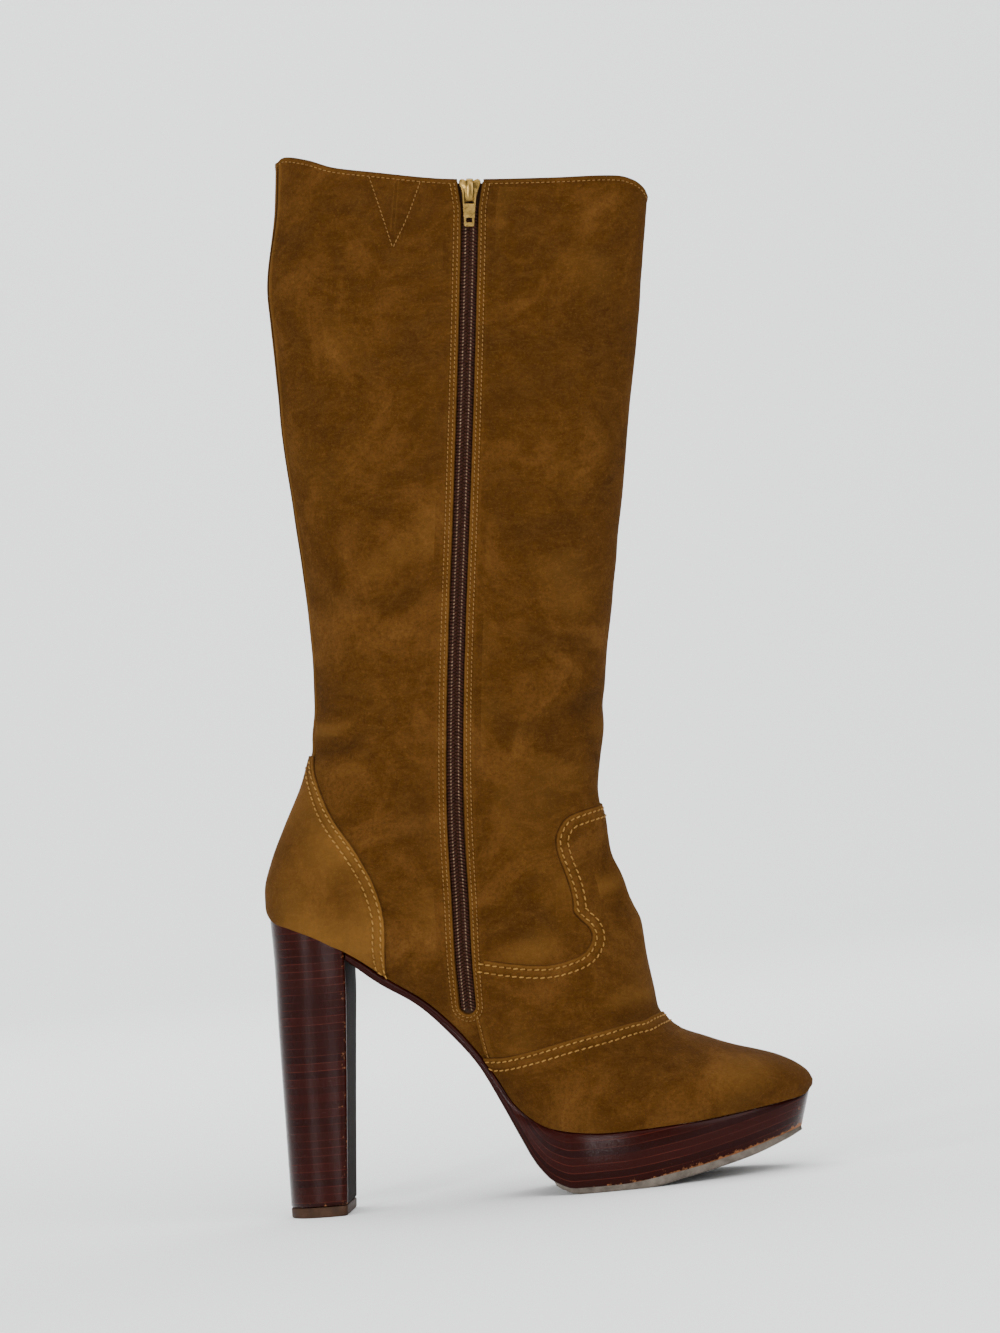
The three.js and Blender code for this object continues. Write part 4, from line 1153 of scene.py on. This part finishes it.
def make_zip_tail():
    """The short seam from the zip's end down to the toe seam."""
    path = side_path([(90.2, 79.5), (91.2, 73), (92.0, 67), (93.2, 60.5)], INNER)
    band("zip_tail_seam", path, OVERLAY[:8] + [(5, 0.3, 0), (6.5, -0.3, 0)], fade=3)
    joined_piece("zip_tail_stitches", [
        stitch_row(shifted(path, 1.5, 0.7), seed=50, **FINE)], FINE_THREAD)


make_zip()
make_zip_tail()


# ---- slider and pull
SLIDER_LIFT = 3.3
SLIDER_BODY = [  # outline of the slider's body: across, up the zip
    (0, -5), (1.9, -5), (2.55, -4.4), (2.7, -3.6), (3.2, -1.4), (3.95, 1.2), (4.6, 3.1),
    (4.65, 3.9), (4.2, 4.7), (3.4, 5), (2.4, 4.75), (1.3, 4.1), (0, 3.9),
]
SLIDER_LAYERS = [(0, 0.35), (0.25, 0.05), (0.5, 0), (1.75, 0), (2.05, 0.12), (2.2, 0.45)]
BRIDGE_PATH = [(4.5, 1.6), (4.5, 3.2), (3.9, 4.4), (2.2, 4.95), (0, 5.05), (-2.2, 4.95),
               (-3.9, 4.4), (-4.5, 3.2), (-4.5, 1.6)]
BRIDGE_SECTION = [(-1.75, -0.2), (-1.65, 0.3), (-1.2, 0.52), (0, 0.58), (1.2, 0.52), (1.65, 0.3),
                  (1.75, -0.2), (1.5, -0.5), (-1.5, -0.5)]
PULL_ROWS = [  # along the pull from its hinge, half width, thickness
    (0.8, 2.5, 0.6), (0.55, 2.95, 0.9), (-0.1, 3.08, 1.0), (-0.8, 3.03, 1.0), (-5.7, 2.7, 1.0),
    (-6.5, 2.65, 0.8), (-8.7, 2.5, 0.72), (-10.9, 2.34, 0.8), (-11.5, 2.3, 1.0), (-11.7, 2.28, 1.0),
    (-13.7, 2.15, 1.0), (-14.6, 2.1, 1.0), (-15.1, 2.0, 0.9), (-15.4, 1.6, 0.6),
]
BRIDGE_STEP = 0.45
BRIDGE_TAPER = 0.12  # how much narrower the bridge is at its ends
PULL_RIB = 0.4
PULL_BEVEL = 0.16
PULL_HOLES = [(-0.8, -5.7, 2.15), (-11.7, -13.7, 1.35)]  # top, bottom, half width


def hardware_axes():
    """Hinge point and the directions across, up and out, in mm of the frame."""
    joint = frame["joints"][0]
    hinge = np.array(joint["pos_m"]) / MM
    across = -unit(np.array(joint["axis"]))
    high, low = [surface_point(float(zip_x(z)), z, INNER) for z in (434.0, 420.0)]
    slope = unit(high - low)
    out = unit(np.cross(across, slope))
    return hinge, across, unit(np.cross(out, across)), out


def make_slider():
    hinge, across, up, out = hardware_axes()
    origin = hinge - out * SLIDER_LIFT
    outline = SLIDER_BODY + [(-x, y) for x, y in SLIDER_BODY[-2:0:-1]]
    middle = np.array([0.0, 0.2])
    rings = []
    for height, shrink in SLIDER_LAYERS:
        rings.append([])
        for x, y in outline:
            reach = np.array([x, y]) - middle
            spot = middle + reach * (1 - shrink / max(np.linalg.norm(reach), 1))
            rings[-1].append(origin + across * spot[0] + up * spot[1] + out * height)
    parts = [ring_solid(rings)]
    path = resample([(0.0, y, z) for y, z in BRIDGE_PATH], BRIDGE_STEP)
    along = np.gradient(path, axis=0)
    rings = []
    for spot, way in zip(path, along):
        way = unit(way)
        lift = np.array([0.0, way[2], -way[1]])
        narrow = 1 - BRIDGE_TAPER * abs(spot[1]) / BRIDGE_PATH[0][0]
        ring = []
        for x, h in BRIDGE_SECTION:
            p = spot + lift * h
            ring.append(origin + across * (x * narrow) + up * p[1] + out * p[2])
        rings.append(ring)
    parts.append(ring_solid(rings))
    vertices, faces = join_parts(parts)
    piece = new_mesh("slider_body", np.array(vertices) * MM, faces, BRASS, "brass")
    sharpen(piece, 50)
    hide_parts("zip_slider")


def make_pull():
    hinge, across, up, out = hardware_axes()
    rows = []
    eye_half, slot_half = PULL_HOLES[0][2], PULL_HOLES[1][2]
    for y, half, thick in PULL_ROWS:
        inside = min(eye_half, half - 0.5)
        rows.append([(x, y, thick / 2) for x in
                     (-half, -inside, -slot_half, -PULL_RIB,
                      PULL_RIB, slot_half, inside, half)])
    wide = len(rows[0])
    top = [hinge + across * x + up * y + out * h for row in rows for x, y, h in row]
    low = [hinge + across * x + up * y - out * h for row in rows for x, y, h in row]
    open_cell = set()
    for high, bottom, half in PULL_HOLES:
        for i in range(len(rows) - 1):
            for k in range(wide - 1):
                middle = (rows[i][k][0] + rows[i][k + 1][0]) / 2
                level = (rows[i][k][1] + rows[i + 1][k][1]) / 2
                if bottom < level < high and abs(middle) < half:
                    open_cell.add((i, k))
    faces, edges = [], []
    count = len(top)
    for i in range(len(rows) - 1):
        for k in range(wide - 1):
            if (i, k) in open_cell:
                continue
            a = i * wide + k
            cell = (a, a + wide, a + wide + 1, a + 1)
            faces.append(cell)
            faces.append(tuple(count + v for v in cell[::-1]))
            for n in range(4):
                edges.append((cell[n], cell[(n + 1) % 4]))
    for a, b in edges:
        if (b, a) not in edges:
            faces.append((b, a, count + a, count + b))
    piece = new_mesh("pull_tab", np.array(top + low) * MM, faces, BRASS, "brass", body="pull",
                     smooth_faces=False)
    bevel = piece.modifiers.new("bevel", "BEVEL")
    bevel.width = PULL_BEVEL * MM
    bevel.segments = 2
    bevel.angle_limit = math.radians(40)
    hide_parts("zip_pull")


make_slider()
make_pull()


# ---- collar rim
def make_collar():
    clear = outside_slit(upper_points[0], RIM_MARGIN)
    blocked = [k for k in range(COLUMNS) if not clear[k]]
    run = list(range(blocked[-1] + 1, COLUMNS)) + list(range(1, blocked[0]))
    edge = np.vstack([notch_corner(-1), upper_points[0][run], notch_corner(1)])
    line, tangents, normals, left = path_on(edge, 1.6)
    down = left if np.mean(left[:, 2]) < 0 else -left
    section = [  # down from the edge, out from the face, shade
        # painted light on the rolled top, painted shade where the rim turns over and in
        (3.4, -0.25, 0), (2.6, 0.1, 0.0), (1.9, 0.18, 0.05), (1.3, 0.1, -0.1), (0.8, 0.3, 0.2),
        (0.1, 0.32, 0.15), (-0.45, 0.05, -0.35), (-0.75, -0.6, -0.9), (-0.7, -1.2, -0.9),
        (-0.3, -1.9, -0.6), (0.6, -2.2, -0.4), (2.4, -2.0, -0.4),
    ]
    vertices, shades = [], []
    for i in range(len(line)):
        for fall, out, tone in section:
            vertices.append(line[i] + down[i] * fall + normals[i] * out)
            shades.append(tone)
    flip = np.dot(np.cross(down[5], tangents[5]), normals[5]) > 0
    faces = grid_faces(len(line), len(section), flip=not flip)
    for cap in (0, len(line) - 1):
        ring = [cap * len(section) + k for k in range(len(section))]
        faces.append(tuple(ring if (cap == 0) == flip else ring[::-1]))
    new_mesh("collar_rim", to_frame(vertices), faces, SUEDE, "suede", shade=shades)
    row = (line + down * 1.3 + normals * 0.1, tangents, normals, left)
    stitches = stitch_row(row, seed=60, pitch=2.2, length=1.5, radius=0.2, slant=0.1)
    joined_piece("collar_stitches", [stitches], FINE_THREAD)


make_collar()

# ---- heel, platform and outsole
heel_back, heel_breast, heel_half = [smooth(HEEL, column) for column in (1, 2, 3)]
platform_x, platform_z = smooth(PLATFORM, 1), smooth(PLATFORM, 2)
outsole_x, outsole_z = smooth(OUTSOLE, 1), smooth(OUTSOLE, 2)
BREAST_CORNER = 2.4
HEEL_COLUMNS = 26
HEEL_HEIGHT = 118            # about that of the stack, for reading its section
HEEL_FOOT = (0.6, 0.2, 0.0)  # how far the lowest rings shrink
HALF_LENGTH = 13             # of the heel, for turning a shrink in mm into a share
HALF_WIDTH = 24
CORNER_WEAR = 0.34
CORNER_SPREAD = 5.0
FOOT_WEAR = 0.4
FOOT_SPREAD = 1.6


def heel_outline(z):
    """Half of the heel's level section from the middle of its breast to its back."""
    back, breast, half = float(heel_back(z)), float(heel_breast(z)), float(heel_half(z))
    points = [(breast, 0.0), (breast, half * 0.5), (breast, half - BREAST_CORNER)]
    for k in range(1, 5):
        angle = math.pi / 2 * k / 5
        points.append((breast - BREAST_CORNER * (1 - math.cos(angle)),
                       half - BREAST_CORNER * (1 - math.sin(angle))))
    for k in range(HEEL_COLUMNS + 1):
        x = (breast - BREAST_CORNER) - (breast - BREAST_CORNER - back) * math.sin(
            math.pi / 2 * k / HEEL_COLUMNS)
        points.append((x, half * float(round_end(x - back, HEEL_ROUND))))
    return points


def heel_ring(z, shrink=0.0, top=None, share=None):
    """The heel's section at height z, made smaller by `shrink`. With `top` it lies at a share
    of the way up to the seat."""
    half = heel_outline(z)
    middle_x = (float(heel_back(z)) + float(heel_breast(z))) / 2
    ring = half + [(x, -y) for x, y in half[-2:0:-1]]
    placed = []
    for x, y in ring:
        x = middle_x + (x - middle_x) * (1 - shrink / HALF_LENGTH)
        height = z
        if top is not None:
            height = TOP_LIFT_HEIGHT + share * (top(x) - TOP_LIFT_HEIGHT)
        placed.append((x, y * (1 - shrink / HALF_WIDTH), height))
    return placed


def seat_under(x):
    return float(feather(max(x, HEEL_BACK))) - GAP


def make_heel():
    shares = np.concatenate([[0, 0.002, 0.006], np.linspace(0.02, 0.985, 44), [0.995, 1.0]])
    rings, wear = [], []
    for number, share in enumerate(shares):
        z = TOP_LIFT_HEIGHT + share * HEEL_HEIGHT
        shrink = HEEL_FOOT[number] if number < len(HEEL_FOOT) else 0.0
        ring = heel_ring(z, shrink, seat_under, share)
        rings.append(ring)
        breast = float(heel_breast(z))
        for x, y, height in ring:
            off = (breast - x) ** 2 + (abs(y) - float(heel_half(z))) ** 2
            corner = math.exp(-(off / CORNER_SPREAD))
            foot = math.exp(-(height - TOP_LIFT_HEIGHT) / FOOT_SPREAD)
            wear.append(CORNER_WEAR * corner + FOOT_WEAR * foot)
    vertices, faces = ring_solid(rings)
    piece = new_mesh("heel_stack", to_frame(vertices), faces, STACKED_HEEL, "stacked", wear=wear)
    # The breast faces take the near-black paint, which stands for their shade.
    piece.data.materials.append(BREAST_PAINTED_SHADE)
    size = len(rings[0])
    flat = {k for k in range(size) if k < 3 or k > size - 3}
    for polygon in piece.data.polygons:
        columns = {index % size for index in polygon.vertices}
        if len(polygon.vertices) == 4 and columns <= flat:
            polygon.material_index = 1
    sharpen(piece)
    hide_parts("heel")


def make_top_lift():
    levels = [(0.0, 0.7), (0.35, 0.15), (0.8, 0.0), (3.9, 0.0), (4.35, 0.25)]  # height, shrink
    vertices, faces = ring_solid([heel_ring(z, shrink) for z, shrink in levels])
    piece = new_mesh("top_lift_rubber", to_frame(vertices), faces, LIFT, "top_lift")
    sharpen(piece)
    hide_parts("top_lift")


TOE_TURN = 26      # length over which the toe rounds off, and the rings there
TAPER_START = 90   # the platform's sides lean in from here to the ball
TAPER_LENGTH = 35
SOLE_STEP = 2.4
WEAR_START = 112   # the platform's lower edge is worn, more so towards the toe
WEAR_LENGTH = 70
WEAR_DEPTH = 1.1
LOW_WEAR = 1.1
TOE_WEAR_START = 214
TOE_WEAR_LENGTH = 14
TOE_WEAR = 0.22


def sole_places(start, end, step):
    """Places along the feather line, closer together where the toe rounds off."""
    straight = np.arange(start, end - TOE_TURN, step)
    turn = np.linspace(0, math.pi / 2, TOE_TURN)
    return np.concatenate([straight, end - TOE_TURN + TOE_TURN * np.sin(turn)])


def sole_taper(x):
    t = np.clip((x - TAPER_START) / TAPER_LENGTH, 0, 1)
    return PLATFORM_TAPER * t * t * (3 - 2 * t)


def sole_slab(start, end, side_profile, top_at, bottom_at, inset, least, tip=0.0):
    """Rings of a sole layer. side_profile lists (share of the way down, how far it bulges).
    tip is the length over which the layer rounds off to a point at the toe."""
    rings, layers, places = [], [], []
    for x in sole_places(start, end, SOLE_STEP):
        middle, half = plan(x, -SOLE_INSET)
        top, bottom = np.array(top_at(x)), np.array(bottom_at(x))
        thick = float(np.linalg.norm(top - bottom))
        half_top = max(float(half) - inset[0] * float(sole_taper(x)) - inset[1], least)
        half_bottom = max(float(half) - float(sole_taper(x)) - inset[1], least)
        if tip:
            close = float(round_end(end - x, tip))
            half_top, half_bottom = max(half_top * close, least), max(half_bottom * close, least)
        ring = [(share, bulge, 1) for share, bulge in side_profile]
        ring += [(share, bulge, -1) for share, bulge in side_profile[::-1]]
        rings.append([])
        for share, bulge, side in ring:
            spot = top + (bottom - top) * share
            reach = half_top + (half_bottom - half_top) * share + bulge
            rings[-1].append((spot[0], float(middle) + side * max(reach, 0.1), spot[1]))
            layers.append((1 - share) * thick)
            places.append(float(x))
    vertices, faces = ring_solid(rings, flip=True)
    return vertices, faces, np.array(layers), np.array(places)


def make_platform():
    profile = [(0, -1.2), (0.0, -0.4), (0.025, -0.05), (0.12, 0.3), (0.26, 0.62), (0.42, 0.82),
               (0.58, 0.82), (0.74, 0.62), (0.88, 0.28), (0.95, 0.0), (0.985, -0.3), (1.0, -0.9),
               (1.0, -3.0)]
    vertices, faces, layers, places = sole_slab(
        PLATFORM[0][0], PLATFORM[-1][0], profile,
        lambda x: (x, float(feather(x)) - GAP),
        lambda x: (float(platform_x(x)), float(platform_z(x))), (0.0, 0.0), 0.5)
    low = np.exp(-layers / WEAR_DEPTH) * np.clip((places - WEAR_START) / WEAR_LENGTH, 0.12, 1.0)
    toe = np.clip((places - TOE_WEAR_START) / TOE_WEAR_LENGTH, 0, 1) * TOE_WEAR
    piece = new_mesh("platform_stack", to_frame(vertices), faces, STACKED_SOLE, "stacked",
                     layer=layers, wear=low * LOW_WEAR + toe)
    sharpen(piece, 50)
    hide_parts("platform")


def make_outsole():
    profile = [(0, -0.6), (0.0, -0.1), (0.15, 0.05), (0.75, 0.05), (0.93, -0.15), (1.0, -0.6),
               (1.0, -3.0)]
    vertices, faces, _, _ = sole_slab(
        OUTSOLE[0][0], OUTSOLE[-1][0], profile,
        lambda x: (float(platform_x(x)), float(platform_z(x)) + 0.35),
        lambda x: (float(outsole_x(x)), float(outsole_z(x))), (1.0, OUTSOLE_INSET), 0.4, 7.0)
    piece = new_mesh("outsole_sheet", to_frame(vertices), faces, RUBBER, "outsole")
    sharpen(piece, 50)
    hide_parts("outsole")


make_heel()
make_top_lift()
make_platform()
make_outsole()

# ---- stage, light and camera
ROOM = {"near": -14.0, "side": 14.0, "wall": 3.2, "top": 5.0, "curve": 1.0}
WALL_STEPS = 16
SENSOR = 36
LIGHTS = [  # name, place, target, size, watts
    ("key", (0.1, -1.7, 1.9), (0, 0, 0.2), (1.4, 1.4), 24),
    ("fill", (1.3, -1.5, 1.0), (0, 0, 0.2), (1.2, 1.6), 29),
    ("top", (0.0, 0.6, 2.4), (0, 0.5, 0), (2.2, 2.2), 66),
    ("wall", (-0.6, 1.1, 2.0), (-0.4, 3.1, 0.6), (1.6, 1.0), 48),
    ("left_strip", (-1.6, -1.15, 0.5), (-0.09, 0, 0.1), (0.14, 1.2), 15),
    ("near_strip", (-0.75, -2.4, 0.5), (-0.09, 0, 0.1), (0.1, 1.2), 33),
]


def make_stage():
    """A pale floor that curves up into a wall far behind."""
    bend = ROOM["wall"] - ROOM["curve"]
    profile = [(ROOM["near"], 0.0), (bend, 0.0)]
    for k in range(1, WALL_STEPS + 1):
        angle = math.pi / 2 * k / WALL_STEPS
        profile.append((bend + ROOM["curve"] * math.sin(angle),
                        ROOM["curve"] * (1 - math.cos(angle))))
    profile.append((ROOM["wall"], ROOM["top"]))
    vertices = [(way * ROOM["side"], y, z) for y, z in profile for way in (-1, 1)]
    faces = grid_faces(len(profile), 2)
    mesh = bpy.data.meshes.new("stage")
    mesh.from_pydata(vertices, [], faces)
    mesh.polygons.foreach_set("use_smooth", [True] * len(mesh.polygons))
    look = Look("stage_paint", Roughness=0.9, Specular_IOR_Level=0.1)
    look.shader.inputs["Base Color"].default_value = (0.96, 0.97, 0.975, 1)
    mesh.materials.append(look.material)
    floor = add_object("stage", mesh)
    floor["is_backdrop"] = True


def area_light(name, place, target, size, watts):
    light = bpy.data.lights.new(name, "AREA")
    light.shape = "RECTANGLE"
    light.size, light.size_y = size
    light.energy = watts
    lamp = add_object(name, light)
    lamp.location = place
    lamp.rotation_euler = (Vector(target) - Vector(place)).to_track_quat("-Z", "Y").to_euler()


def make_lights():
    for row in LIGHTS:
        area_light(*row)
    world = bpy.data.worlds.new("world")
    world.use_nodes = True
    sky = world.node_tree.nodes["Background"].inputs
    sky["Color"].default_value = (0.9, 0.95, 1.0, 1)
    sky["Strength"].default_value = 0.22
    bpy.context.scene.world = world


CAMERA = {"yaw": 4.2, "height": 0.226, "distance": 2.9, "roll": 6.2, "fills": 0.83}


def make_camera():
    data = bpy.data.cameras.new("camera")
    camera = add_object("camera", data)
    low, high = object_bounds()
    target = Vector(((low[0] + high[0]) / 2, 0.0, CAMERA["height"]))
    yaw, roll = math.radians(CAMERA["yaw"]), math.radians(CAMERA["roll"])
    away = Vector((math.sin(yaw), -math.cos(yaw), 0.0))
    camera.location = target + away * CAMERA["distance"]
    camera.rotation_mode = "QUATERNION"
    level = (-away).to_track_quat("-Z", "Y")
    camera.rotation_quaternion = level @ Matrix.Rotation(-roll, 3, "Z").to_quaternion()
    tall = (high[2] - low[2]) * math.cos(roll) + (high[0] - low[0]) * math.sin(roll)
    data.sensor_fit = "VERTICAL"
    data.sensor_height = SENSOR
    data.sensor_width = SENSOR
    data.lens = SENSOR * CAMERA["distance"] * CAMERA["fills"] / tall
    bpy.context.scene.camera = camera


make_stage()
make_lights()
make_camera()

insole = frame["nodes"]["insole"]
insole.data.materials.clear()
insole.data.materials.append(INSOLE)
